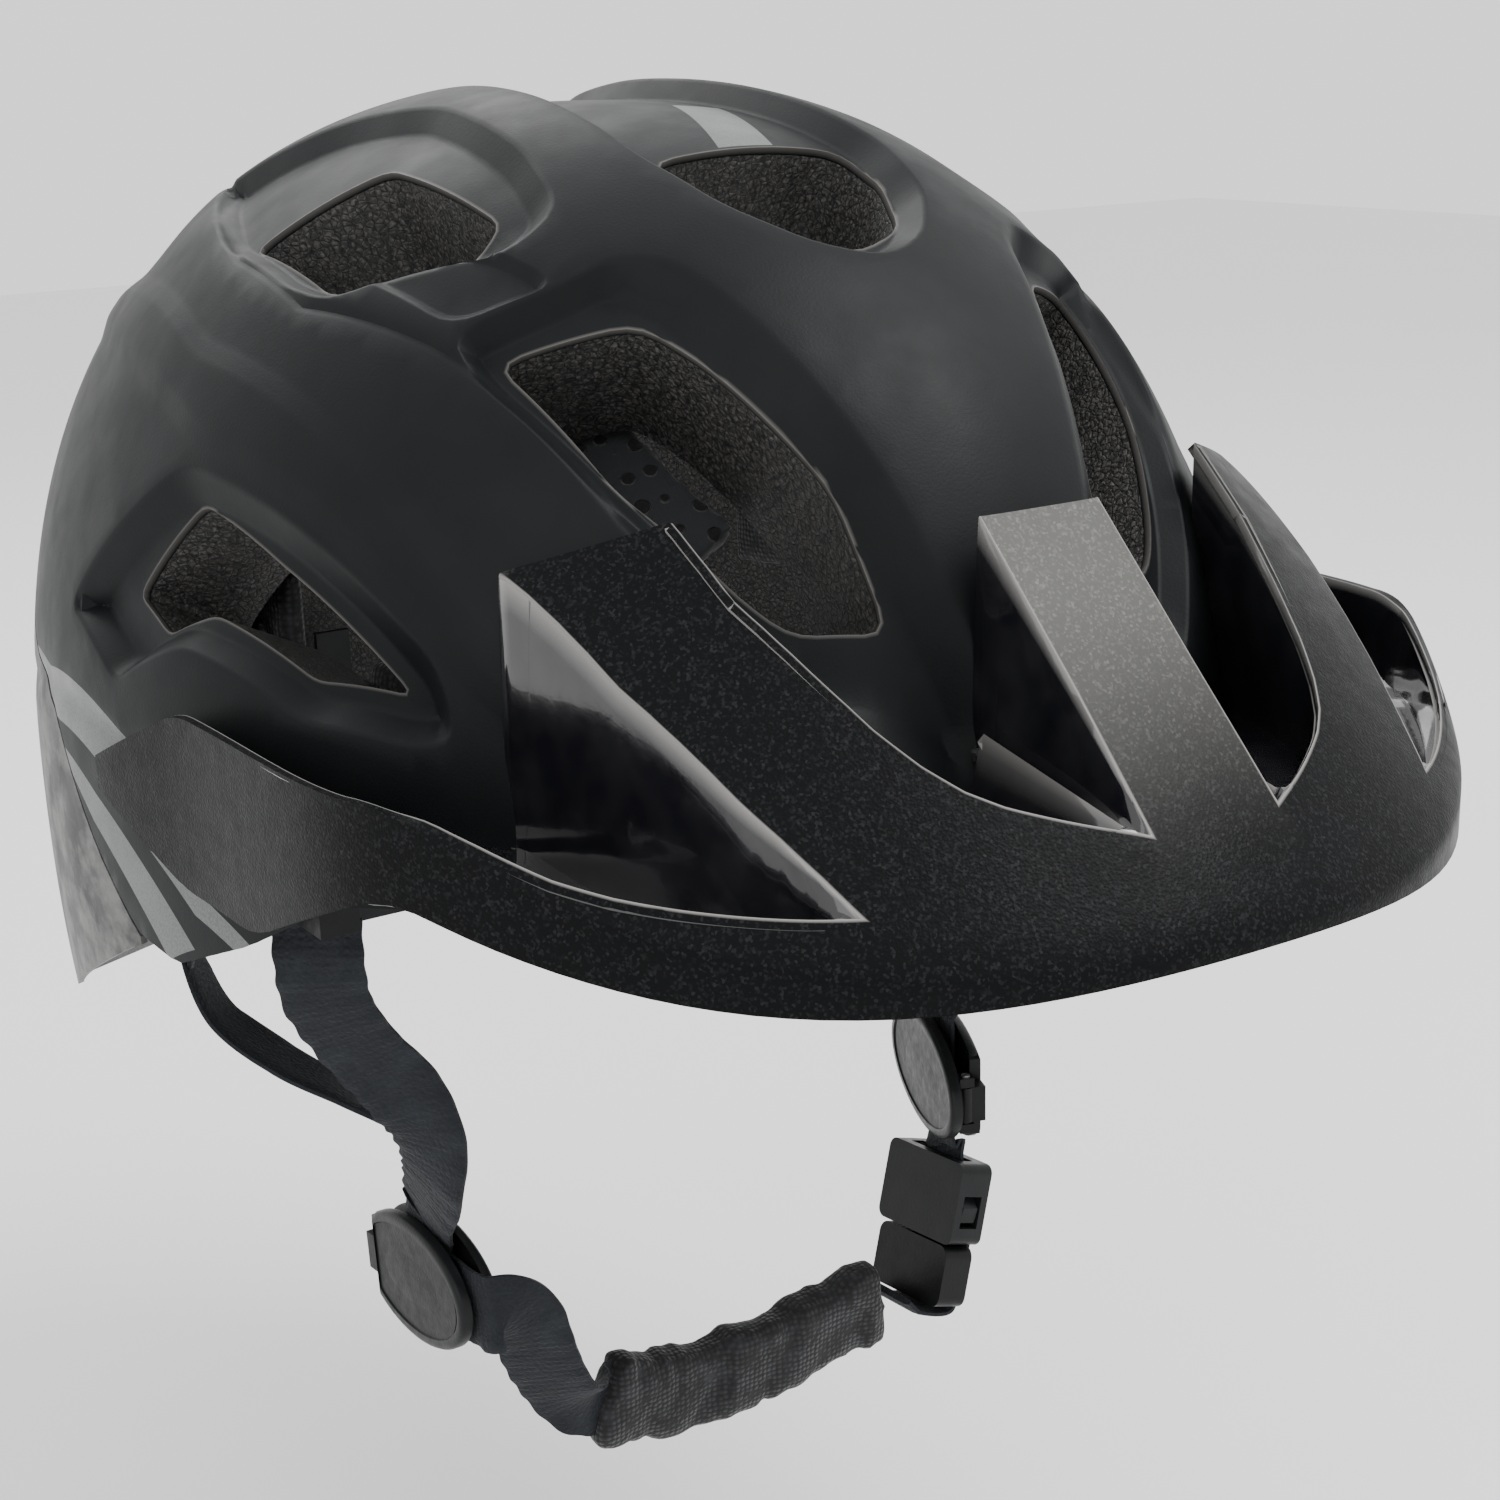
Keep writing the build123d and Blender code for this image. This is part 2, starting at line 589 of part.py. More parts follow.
pin_length = 2 * ear_centre + ear_width
with BuildPart() as divider_pins:
    for hand, face, pin_x in dividers:
        start = spot(face, pin_x, -pin_length / 2, 0)
        with BuildSketch(Plane(origin=start, x_dir=face.x_dir, z_dir=face.y_dir)):
            Circle(pin_radius - 0.01)
        extrude(amount=pin_length)
divider_pins.part.label = "divider_pins"
export_step(divider_pins.part, "parts/divider_pins.step")

# ---- side-release buckle ------------------------------------------------------------------------
mouth = -2.0                    # where the halves meet, on the buckle's own upward axis
female_top = 15.0
cavity_half = 10.0
cavity_top = 9.8
prong_depth = 3.8

with BuildPart() as buckle_female:
    with BuildSketch(buckle_face):
        with Locations((0, (female_top + mouth) / 2)):
            RectangleRounded(buckle_width, female_top - mouth, 2)
    extrude(amount=buckle_thickness / 2, both=True)
    with BuildSketch(buckle_face):
        with Locations((0, (cavity_top + mouth - 1) / 2)):
            Rectangle(2 * cavity_half, cavity_top - mouth + 1)
        with Locations((0, 5.15)):
            Rectangle(buckle_width + 2, 6.7)
    extrude(amount=2.3, both=True, mode=Mode.SUBTRACT)
    with BuildSketch(buckle_face):
        with Locations((0, 13.4)):
            Rectangle(webbing_width + 1.4, 4.2)
    extrude(amount=1.6, both=True, mode=Mode.SUBTRACT)
buckle_female.part.label = "buckle_female"
export_step(buckle_female.part, "parts/buckle_female.step")

base_top = mouth - 0.6
with BuildPart() as buckle_male:
    with BuildSketch(buckle_face):
        with Locations((0, (base_top - 15.5) / 2)):
            RectangleRounded(buckle_width - 2, base_top + 15.5, 2.5)
    extrude(amount=3.5, both=True)
    with BuildSketch(buckle_face):
        with Locations((0, (base_top - 1 + 8.5) / 2)):
            Rectangle(4.4, 8.5 - base_top + 1)
    extrude(amount=prong_depth / 2, both=True)
buckle_male.part.label = "buckle_male"
export_step(buckle_male.part, "parts/buckle_male.step")

root_radius = 1.5               # round root that a prong flexes about
root_centre = (6.9, base_top + squeeze_gap + root_radius)
prong_outline = [
    (5.4, root_centre[1]), (8.4, root_centre[1]), (8.6, 2.4), (11.4, 2.9),
    (11.8, 6.0), (9.2, 8.9), (7.0, 8.9), (5.6, 2.0),
]
for hand, name in ((-1, "buckle_prong_front"), (1, "buckle_prong_rear")):
    with BuildPart() as prong:
        with BuildSketch(buckle_face):
            Polygon(*[(hand * x, y) for x, y in prong_outline], align=None)
            with Locations((hand * root_centre[0], root_centre[1])):
                Circle(root_radius)
        extrude(amount=prong_depth / 2, both=True)
    prong.part.label = name
    export_step(prong.part, f"parts/{name}.step")

# ---- retention system: bands, cradle and dial -----------------------------------------------------
band_height = 9.0
band_thickness = 1.6
band_level = -10.0
cradle_plate = 2.4
cradle_low = -44.0
cradle_high = -20.0
dial_front = cradle_rear + 0.2
housing_depth = 7.0


def arc_band(side, rear, thickness, low, high, start, end):
    """Upright band round the back of the head, between two angles from the front."""
    angles = spread(start, end, max(int(abs(end - start) / 8) + 1, 3))
    radii = [1 / hypot(sin(radians(angle)) / side, cos(radians(angle)) / rear) for angle in angles]
    return curved_wall(radii, angles, thickness, low, high)


for hand, name in ((-1, "band_right"), (1, "band_left")):
    with BuildPart() as band:
        add(arc_band(
            cradle_half_width, cradle_rear, band_thickness, band_level - band_height / 2,
            band_level + band_height / 2, hand * 76, hand * 138,
        ))
    band.part.label = name
    export_step(band.part, f"parts/{name}.step")

with BuildPart() as temple_anchors:
    for hand in (-1, 1):
        angle = hand * 78
        start = 1 / hypot(sin(radians(78)) / cradle_half_width, cos(radians(78)) / cradle_rear) + 0.5
        end = cavity_radius(angle, band_level) - 0.2
        outward = Plane(origin=polar(angle, start, band_level), x_dir=(0, 0, 1), z_dir=polar(angle, 1, 0))
        with BuildSketch(outward):
            Rectangle(band_height, 12)
        extrude(amount=end - start - 0.6)
temple_anchors.part.label = "temple_anchors"
export_step(temple_anchors.part, "parts/temple_anchors.step")

dial_back_plane = Plane(origin=(0, cradle_rear - cradle_plate, dial_height), x_dir=(1, 0, 0), z_dir=(0, 1, 0))
with BuildPart() as cradle:
    add(arc_band(cradle_half_width - 2, cradle_rear, cradle_plate, cradle_low, cradle_high, 146, 214))
    with BuildSketch(dial_back_plane):
        RectangleRounded(58, 22, 8)
    extrude(amount=cradle_plate)
    with BuildSketch(dial_back_plane):
        Circle(1.6)
    extrude(amount=cradle_plate, mode=Mode.SUBTRACT)
cradle.part.label = "cradle"
export_step(cradle.part, "parts/cradle.step")

with BuildPart() as cradle_pad:
    add(arc_band(cradle_half_width - 6, cradle_rear - 3.2, 4.0, cradle_low + 2, cradle_high - 2, 150, 210))
cradle_pad.part.label = "cradle_pad"
export_step(cradle_pad.part, "parts/cradle_pad.step")

with BuildPart() as cradle_hanger:
    for hand in (-1, 1):
        with BuildSketch(Plane(origin=(hand * 14, cradle_rear - 1.2, cradle_high + 0.3))):
            Rectangle(8, 1.6)
        extrude(amount=26)
cradle_hanger.part.label = "cradle_hanger"
export_step(cradle_hanger.part, "parts/cradle_hanger.step")

with BuildPart() as dial_cover:
    with BuildSketch(Plane(origin=(0, dial_front, dial_height), x_dir=(1, 0, 0), z_dir=(0, 1, 0))):
        RectangleRounded(58, 22, 8)
    extrude(amount=housing_depth)
    with BuildSketch(Plane(origin=(0, dial_front, dial_height), x_dir=(1, 0, 0), z_dir=(0, 1, 0))):
        Rectangle(62, 17.4)
    extrude(amount=3.6, mode=Mode.SUBTRACT)
    with BuildSketch(Plane(origin=(0, dial_front, dial_height), x_dir=(1, 0, 0), z_dir=(0, 1, 0))):
        Circle(3.4)
    extrude(amount=housing_depth, mode=Mode.SUBTRACT)
dial_cover.part.label = "dial_cover"
export_step(dial_cover.part, "parts/dial_cover.step")

tooth_tip = pinion_radius + 0.75
tooth_root = pinion_radius - 1.0
with BuildPart() as dial_pinion:
    with BuildSketch(Plane(origin=(0, dial_front + 0.4, dial_height), x_dir=(1, 0, 0), z_dir=(0, 1, 0))):
        Circle(tooth_root)
        with PolarLocations(0, pinion_teeth, start_angle=90):
            Polygon(
                (tooth_root - 0.8, -0.95), (tooth_root, -0.95), (tooth_tip, -0.3), (tooth_tip, 0.3),
                (tooth_root, 0.95), (tooth_root - 0.8, 0.95), align=None,
            )
    extrude(amount=2.8)
    with BuildSketch(Plane(origin=(0, dial_front + 3.2, dial_height), x_dir=(1, 0, 0), z_dir=(0, 1, 0))):
        Circle(3.2)
    extrude(amount=housing_depth - 2.9)
    with BuildSketch(Plane(origin=(0, dial_front, dial_height), x_dir=(1, 0, 0), z_dir=(0, 1, 0))):
        Circle(1.6)
    extrude(amount=housing_depth + 1, mode=Mode.SUBTRACT)
dial_pinion.part.label = "dial_pinion"
export_step(dial_pinion.part, "parts/dial_pinion.step")

knob_radius = 11.5
knob_start = dial_front + housing_depth + 0.3
with BuildPart() as dial_knob:
    with BuildSketch(Plane(origin=(0, knob_start, dial_height), x_dir=(1, 0, 0), z_dir=(0, 1, 0))):
        Circle(knob_radius)
        with PolarLocations(knob_radius + 0.6, 18):
            Circle(1.3, mode=Mode.SUBTRACT)
    extrude(amount=7)
    with BuildSketch(Plane(origin=(0, knob_start, dial_height), x_dir=(1, 0, 0), z_dir=(0, 1, 0))):
        Circle(1.6)
    extrude(amount=7, mode=Mode.SUBTRACT)
    fillet(dial_knob.faces().sort_by(Axis.Y)[-1].outer_wire().edges(), 0.4)
dial_knob.part.label = "dial_knob"
export_step(dial_knob.part, "parts/dial_knob.step")

with BuildPart() as dial_screw:
    with BuildSketch(dial_back_plane):
        Circle(1.55)
    extrude(amount=knob_start + 7 + 0.2 - cradle_rear + cradle_plate)
    with BuildSketch(Plane(origin=(0, knob_start + 7.2, dial_height), x_dir=(1, 0, 0), z_dir=(0, 1, 0))):
        Circle(3.2)
    extrude(amount=1.2)
dial_screw.part.label = "dial_screw"
export_step(dial_screw.part, "parts/dial_screw.step")

tooth_pitch = pi * rack_module
for hand, name in ((-1, "rack_right"), (1, "rack_left")):
    line = dial_height - hand * pinion_radius       # pitch line, above the dial on one hand, below on the other
    with BuildPart() as rack:
        with BuildSketch(Plane(origin=(0, dial_front + 0.5, 0), x_dir=(1, 0, 0), z_dir=(0, -1, 0))):
            with Locations((hand * 8, line - hand * 1.8)):
                Rectangle(34, 1.4)
            for count in range(-6, 7):
                middle = count * tooth_pitch + tooth_pitch / 2
                if -9 < hand * middle < 24:
                    with Locations((middle, line)):
                        Polygon(
                            (-0.95, -hand * 1.3), (-0.3, hand * 0.7), (0.3, hand * 0.7), (0.95, -hand * 1.3),
                            align=None,
                        )
        extrude(amount=-2.6)
    rack.part.label = name
    export_step(rack.part, f"parts/{name}.step")
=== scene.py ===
"""Looks of a cycling helmet: shell, foam, peak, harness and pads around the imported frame.

Sizes are in metres, with the frame's axes: +Z up, the front towards -Y, the wearer's left towards +X.
Outlines on the shell are in degrees to the left of and behind the top, as seen from the origin.
"""
import math

import bmesh
import bpy
import numpy as np
from mathutils import Matrix, Vector, geometry, noise


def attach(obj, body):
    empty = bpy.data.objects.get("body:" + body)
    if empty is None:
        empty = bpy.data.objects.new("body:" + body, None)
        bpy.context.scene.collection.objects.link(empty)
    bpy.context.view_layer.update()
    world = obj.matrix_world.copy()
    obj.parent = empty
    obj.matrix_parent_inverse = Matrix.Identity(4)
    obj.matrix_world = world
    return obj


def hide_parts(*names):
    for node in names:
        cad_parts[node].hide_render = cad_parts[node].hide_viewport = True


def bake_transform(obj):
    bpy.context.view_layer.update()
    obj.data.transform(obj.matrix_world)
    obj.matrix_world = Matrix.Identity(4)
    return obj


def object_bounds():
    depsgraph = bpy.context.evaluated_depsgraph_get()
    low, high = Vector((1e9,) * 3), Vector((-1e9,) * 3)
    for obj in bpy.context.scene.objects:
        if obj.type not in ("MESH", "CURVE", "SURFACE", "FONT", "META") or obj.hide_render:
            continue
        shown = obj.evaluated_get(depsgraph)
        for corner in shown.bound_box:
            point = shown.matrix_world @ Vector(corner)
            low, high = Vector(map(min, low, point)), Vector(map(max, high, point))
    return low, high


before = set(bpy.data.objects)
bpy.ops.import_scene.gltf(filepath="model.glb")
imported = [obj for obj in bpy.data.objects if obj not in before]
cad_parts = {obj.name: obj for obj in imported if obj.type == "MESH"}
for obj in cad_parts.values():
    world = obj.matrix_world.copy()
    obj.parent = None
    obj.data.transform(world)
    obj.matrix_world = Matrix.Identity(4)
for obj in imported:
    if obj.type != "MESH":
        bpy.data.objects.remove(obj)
cad_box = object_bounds()
MM = 0.001

# ---- driving dimensions, the same as the CAD model's ----
HALF_WIDTH = 104 * MM
FRONT = 136 * MM
REAR = 149 * MM
TOP = 128 * MM
SKIRT = 170 * MM
ROUNDNESS = 2.27
CAVITY = (79 * MM, 106 * MM, 116 * MM, 99 * MM)     # half width, front, rear, top of the head space
SKIN = 1.2 * MM
SKIN_EDGE = np.array([
    (-150, 18), (-69, 7), (-49, -4), (-28, -12.5), (-14, -10.5), (2, 1), (25, 21), (54, 30), (150, 37),
]) * MM
TAIL_EDGE = np.array([(-14, -12.8), (50, -43), (80, -43), (150, -38)]) * MM
SLIT = 0.8 * MM


# ---- the dome ----
def directions(u, v):
    """Unit vectors u degrees to the left and v degrees back from the top."""
    u, v = np.asarray(u, float), np.asarray(v, float)
    tilt = np.hypot(u, v) + 1e-9
    across = np.sin(np.radians(tilt))
    return np.stack([across * u / tilt, across * v / tilt, np.cos(np.radians(tilt))], -1)


def reach(rays, side=HALF_WIDTH, front=FRONT, rear=REAR, top=TOP):
    """Distance from the origin to the dome along unit vectors."""
    length = np.where(rays[:, 1] < 0, front, rear)
    flat = np.hypot(rays[:, 0] / side, rays[:, 1] / length)
    tall = np.abs(rays[:, 2]) / np.where(rays[:, 2] > 0, top, SKIRT)
    return (flat**ROUNDNESS + tall**ROUNDNESS) ** (-1 / ROUNDNESS)


def girth(z):
    """Scale of the dome's horizontal section at a level."""
    z = np.asarray(z, float)
    share = np.clip(np.abs(z) / np.where(z > 0, TOP, SKIRT), 0, 1)
    return (1 - share**ROUNDNESS) ** (1 / ROUNDNESS)


def wall_radius(angle, z):
    """Distance of the outside from the Z axis, at an angle in degrees from the front."""
    turn = np.radians(angle)
    length = np.where(np.cos(turn) > 0, FRONT, REAR)
    return girth(z) / np.hypot(np.sin(turn) / HALF_WIDTH, np.cos(turn) / length)


def edge_loop(edge, drop=0.0, first=0, last=360, step=2):
    """Map points where the dome crosses an edge given as (y, z), from one angle to another."""
    loop = []
    for angle in np.arange(first, last + 0.01, step):
        low, high = -61 * MM, 60 * MM
        for _ in range(34):
            level = (low + high) / 2
            y = -wall_radius(angle, level) * math.cos(math.radians(angle))
            if level > np.interp(y, edge[:, 0], edge[:, 1]) - drop:
                high = level
            else:
                low = level
        radius = float(wall_radius(angle, level))
        tilt = math.degrees(math.atan2(radius, level))
        loop.append((tilt * math.sin(math.radians(angle)), -tilt * math.cos(math.radians(angle))))
    return np.array(loop)


# ---- objects ----
def new_object(name, data):
    piece = bpy.data.objects.new(name, data)
    bpy.context.scene.collection.objects.link(piece)
    return piece


def places_of(piece):
    return np.array([vertex.co[:] for vertex in piece.data.vertices])


def mark(piece, name, values):
    """Stores a value at each vertex, for the materials."""
    piece.data.attributes.new(name, "FLOAT", "POINT").data.foreach_set("value", values.astype(np.float32))


# ---- outlines and their distances ----
def inside(points, outline):
    """Which points lie in a closed outline."""
    x, y = points[:, 0], points[:, 1]
    result = np.zeros(len(points), bool)
    for (ax, ay), (bx, by) in zip(outline, np.roll(outline, -1, axis=0)):
        crosses = (ay > y) != (by > y)
        with np.errstate(divide="ignore", invalid="ignore"):
            result ^= crosses & (x < (bx - ax) * (y - ay) / (by - ay) + ax)
    return result


def distance(points, path, closed=True):
    """Distance of each point to a path."""
    ends = np.roll(path, -1, axis=0) if closed else path[1:]
    starts = path if closed else path[:-1]
    nearest = np.full(len(points), 1e9)
    for start, end in zip(starts, ends):
        run = end - start
        share = np.clip(((points - start) @ run) / max(run @ run, 1e-12), 0, 1)
        nearest = np.minimum(nearest, np.linalg.norm(points - start - share[:, None] * run, axis=1))
    return nearest


def depth_in(points, outline):
    """Distance inside an outline, negative outside of it."""
    return np.where(inside(points, outline), 1, -1) * distance(points, outline)


def smooth(share):
    share = np.clip(share, 0, 1)
    return share * share * (3 - 2 * share)


def rounded(outline, radius, steps=4):
    """An outline with its corners turned into arcs."""
    outline = np.array(outline, float)
    result = []
    for before, here, after in zip(np.roll(outline, 1, axis=0), outline, np.roll(outline, -1, axis=0)):
        back, ahead = before - here, after - here
        back_reach = min(radius, np.linalg.norm(back) * 0.45)
        ahead_reach = min(radius, np.linalg.norm(ahead) * 0.45)
        start = here + back / np.linalg.norm(back) * back_reach
        end = here + ahead / np.linalg.norm(ahead) * ahead_reach
        for share in np.linspace(0, 1, steps):
            result.append((1 - share) ** 2 * start + 2 * share * (1 - share) * here + share**2 * end)
    return np.array(result)


def inset(outline, amount):
    """An outline moved inwards."""
    turning = np.cross(outline, np.roll(outline, -1, axis=0)).sum()
    runs = np.roll(outline, -1, axis=0) - outline
    runs /= np.linalg.norm(runs, axis=1)[:, None] + 1e-12
    normals = np.stack([-runs[:, 1], runs[:, 0]], -1) * np.sign(turning)
    mitre = normals + np.roll(normals, 1, axis=0)
    size = np.maximum((mitre**2).sum(1), 0.6)
    return outline + mitre * (2 * amount / size)[:, None]


def beside(path, amount):
    """An open path moved sideways."""
    path = np.array(path, float)
    ahead = np.gradient(path, axis=0)
    ahead /= np.linalg.norm(ahead, axis=1)[:, None]
    return path + np.stack([-ahead[:, 1], ahead[:, 0]], -1) * amount


def mirrored(outline):
    return np.array(outline, float) * (-1, 1)


def both_sides(line, closed):
    return [(line, closed), (mirrored(line), closed)]


def resampled(path, spacing, closed):
    """A path with points about a spacing apart."""
    path = np.array(path, float)
    if closed:
        path = np.vstack([path, path[:1]])
    result = []
    for start, end in zip(path[:-1], path[1:]):
        count = max(int(round(np.linalg.norm(end - start) / spacing)), 1)
        result += [start + (end - start) * i / count for i in range(count)]
    if not closed:
        result.append(path[-1])
    return np.array(result)


def triangulated(bounds, holes, lines, spacing):
    """Triangles that fill a closed outline, except its holes, and follow every given line."""
    paths = [(resampled(bounds, spacing, True), True)]
    paths += [(resampled(hole, spacing * 0.6, True), True) for hole in holes]
    paths += [(resampled(line, spacing * 0.7, closed), closed) for line, closed in lines]
    low, high = bounds.min(0), bounds.max(0)
    row = spacing * math.sqrt(3) / 2
    grid = []
    for index, y in enumerate(np.arange(low[1], high[1], row)):
        xs = np.arange(low[0] + (index % 2) * spacing / 2, high[0], spacing)
        grid.append(np.stack([xs, np.full(len(xs), y)], -1))
    grid = np.vstack(grid)
    keep = inside(grid, bounds)
    grid = grid[keep]
    for path, closed in paths:
        near = np.ones(len(grid), bool)
        box = (grid > path.min(0) - spacing).all(1) & (grid < path.max(0) + spacing).all(1)
        near[box] = distance(grid[box], path, closed) > spacing * 0.5
        grid = grid[near]
    points, edges = [], []
    for path, closed in paths:
        first = len(points)
        points += [tuple(point) for point in path]
        edges += [(first + i, first + i + 1) for i in range(len(path) - 1)]
        if closed:
            edges.append((len(points) - 1, first))
    points += [tuple(point) for point in grid]
    found = geometry.delaunay_2d_cdt([Vector(p) for p in points], edges, [], 0, 1e-5)
    flat = np.array([tuple(point) for point in found[0]])
    faces = np.array([face for face in found[2] if len(face) == 3])
    centres = flat[faces].mean(1)
    keep = inside(centres, resampled(bounds, spacing, True))
    for hole in holes:
        keep &= ~inside(centres, hole)
    faces = faces[keep]
    used = np.unique(faces)
    renumber = np.full(len(flat), -1)
    renumber[used] = np.arange(len(used))
    return flat[used], renumber[faces]


def slab_mesh(name, outer, inner, faces, wall_steps=1, face_slots=None):
    """Closed mesh between an outer and an inner copy of the same triangles."""
    edges = dict.fromkeys((a, b) for face in faces.tolist() for a, b in zip(face, face[1:] + face[:1]))
    rim = [edge for edge in edges if edge[::-1] not in edges]
    rim_ids = sorted({point for edge in rim for point in edge})
    count = len(outer)
    vertices = [outer, inner]
    layers = [dict(zip(rim_ids, rim_ids))]
    for step in range(1, wall_steps):
        share = step / wall_steps
        first = sum(map(len, vertices))
        layers.append({point: first + index for index, point in enumerate(rim_ids)})
        vertices.append(outer[rim_ids] * (1 - share) + inner[rim_ids] * share)
    layers.append({point: count + point for point in rim_ids})
    polygons = [tuple(face) for face in faces] + [(c + count, b + count, a + count) for a, b, c in faces]
    walls = [(top[b], top[a], low[a], low[b]) for a, b in rim for top, low in zip(layers, layers[1:])]
    mesh = bpy.data.meshes.new(name)
    mesh.from_pydata(np.vstack(vertices).tolist(), [], polygons + walls)
    if face_slots is not None:
        slots = np.concatenate([face_slots, np.zeros(len(faces) + len(walls), int)])
        mesh.polygons.foreach_set("material_index", slots.astype(np.int32))
    mesh.validate()
    return new_object(name, mesh)


def shade(piece, angle=35):
    """Smooth shading, with an edge kept sharp where the surface turns by more than an angle."""
    mesh = piece.data
    mesh.polygons.foreach_set("use_smooth", np.ones(len(mesh.polygons), bool))
    shape = bmesh.new()
    shape.from_mesh(mesh)
    limit = math.radians(angle)
    for edge in shape.edges:
        edge.smooth = len(edge.link_faces) == 2 and edge.calc_face_angle(0) < limit
    shape.to_mesh(mesh)
    shape.free()
    return piece


# ---- materials ----
class Surface:
    """A node material: a Principled shader and small helpers that feed its sockets."""

    def __init__(self, name, colour, roughness, **sockets):
        self.material = bpy.data.materials.new(name)
        self.material.use_nodes = True
        self.nodes = self.material.node_tree.nodes
        self.links = self.material.node_tree.links
        self.shader = self.nodes["Principled BSDF"]
        self.shader.inputs["Base Color"].default_value = (*colour, 1)
        self.shader.inputs["Roughness"].default_value = roughness
        for socket, value in sockets.items():
            self.shader.inputs[socket.replace("_", " ")].default_value = value
        self.place = self.nodes.new("ShaderNodeTexCoord").outputs["Object"]
        self.height = None

    def node(self, kind, output, sockets, **settings):
        """Output of a new node; its sockets take other nodes' outputs or plain values."""
        made = self.nodes.new(kind)
        for key, value in settings.items():
            setattr(made, key, value)
        for key, value in sockets.items():
            if isinstance(value, bpy.types.NodeSocket):
                self.links.new(value, made.inputs[key])
            else:
                made.inputs[key].default_value = value
        return made.outputs[output]

    def stretched(self, scale):
        return self.node("ShaderNodeMapping", "Vector", {"Vector": self.place, "Scale": scale})

    def noise(self, size, detail=3.0, rough=0.55, place=None):
        return self.node("ShaderNodeTexNoise", "Fac", {
            "Vector": place or self.place, "Scale": 1 / size, "Detail": detail, "Roughness": rough})

    def clouds(self, size, detail, low, high):
        """Noise patches, from 0 where the noise is below low to 1 where it is above high."""
        return self.ramp(self.noise(size, detail), low, high)

    def cells(self, size, feature="F1", output="Distance", randomness=1.0):
        return self.node("ShaderNodeTexVoronoi", output, {
            "Vector": self.place, "Scale": 1 / size, "Randomness": randomness}, feature=feature)

    def attribute(self, name):
        return self.node("ShaderNodeAttribute", "Fac", {}, attribute_name=name)

    def ramp(self, value, low, high, bottom=0.0, top=1.0):
        return self.node("ShaderNodeMapRange", "Result", {
            "Value": value, "From Min": low, "From Max": high, "To Min": bottom, "To Max": top})

    def blend(self, share, bottom, top):
        """Colour between two colours, or colour outputs, by a share."""
        bottom, top = ((*value, 1) if isinstance(value, tuple) else value for value in (bottom, top))
        return self.node("ShaderNodeMix", 2, {0: share, 6: bottom, 7: top}, data_type="RGBA")

    def colour(self, share, bottom, top):
        self.links.new(self.blend(share, bottom, top), self.shader.inputs["Base Color"])

    def roughness(self, pattern, bottom, top, low=0.3, high=0.7):
        """Roughness from bottom to top, as a pattern goes from low to high."""
        self.links.new(self.ramp(pattern, low, high, bottom, top), self.shader.inputs["Roughness"])

    def bump(self, output, height, strength=1.0):
        """Raises the surface by a height in metres; calls add up."""
        sockets = {"Height": output, "Strength": strength, "Distance": height}
        if self.height is not None:
            sockets["Normal"] = self.height
        self.height = self.node("ShaderNodeBump", "Normal", sockets)
        self.links.new(self.height, self.shader.inputs["Normal"])


def shell_paint():
    """Matte charcoal paint over polycarbonate, with faint mottling and a painted highlight along the vents'
    edges.
    """
    s = Surface("shell_paint", (0.01, 0.011, 0.012), 0.47, Specular_IOR_Level=0.3, IOR=1.27)
    mottle = s.clouds(0.03, 4, 0.35, 0.65)
    base = s.blend(mottle, (0.0058, 0.0068, 0.0074), (0.0082, 0.0094, 0.01))
    # lighter colour along the vents' edges: a painted highlight
    s.colour(s.attribute("painted_highlight"), base, (0.1, 0.096, 0.09))
    s.roughness(s.noise(0.012, 5), 0.41, 0.51)
    s.bump(s.noise(0.0005, 2), 0.00003)
    return s.material


def stripe_paint():
    """Silver-grey satin paint with fine flakes."""
    s = Surface("stripe_paint", (0.12, 0.123, 0.123), 0.42, Metallic=0.1, IOR=1.25)
    flakes = s.ramp(s.cells(0.0004), 0.0, 0.8)
    s.colour(flakes, (0.16, 0.165, 0.165), (0.11, 0.114, 0.114))
    s.roughness(s.noise(0.01, 4), 0.3, 0.42)
    s.bump(s.noise(0.0005, 2), 0.00002)
    return s.material


def marbled_gloss():
    """Clear-coated shell with cloudy grey marbling."""
    s = Surface("marbled_gloss", (0.03, 0.03, 0.03), 0.4, Coat_Weight=0.02, Coat_Roughness=0.12, IOR=1.18)
    swirl = s.stretched((1.0, 1.0, 1.5))
    veins = s.ramp(s.noise(0.011, 6, 0.62, swirl), 0.42, 0.62)
    clouds = s.ramp(s.noise(0.028, 3, 0.5, swirl), 0.35, 0.7)
    dark = s.blend(clouds, (0.008, 0.0085, 0.009), (0.035, 0.036, 0.035))
    s.colour(veins, dark, (0.12, 0.12, 0.115))
    s.roughness(s.noise(0.01, 4), 0.34, 0.46)
    s.bump(s.noise(0.002, 3), 0.00003)
    return s.material


def beaded_foam():
    """Black expanded foam: flattened beads with dark seams and grey-brown grazes."""
    s = Surface("beaded_foam", (0.02, 0.02, 0.02), 0.62)
    beads = s.cells(0.0012)
    seams = s.cells(0.0012, feature="DISTANCE_TO_EDGE")
    grain = s.noise(0.0007, 3)
    tone = s.ramp(grain, 0.45, 0.72)
    bead_tone = s.blend(s.ramp(beads, 0.0, 0.7), (0.034, 0.033, 0.031), (0.014, 0.014, 0.0135))
    speckled = s.blend(tone, bead_tone, (0.11, 0.104, 0.095))
    s.colour(s.ramp(seams, 0.0, 0.12), (0.006, 0.006, 0.006), speckled)
    s.roughness(grain, 0.5, 0.75)
    s.bump(s.ramp(seams, 0.0, 0.2), 0.0002, 0.6)
    s.bump(grain, 0.00025)
    return s.material


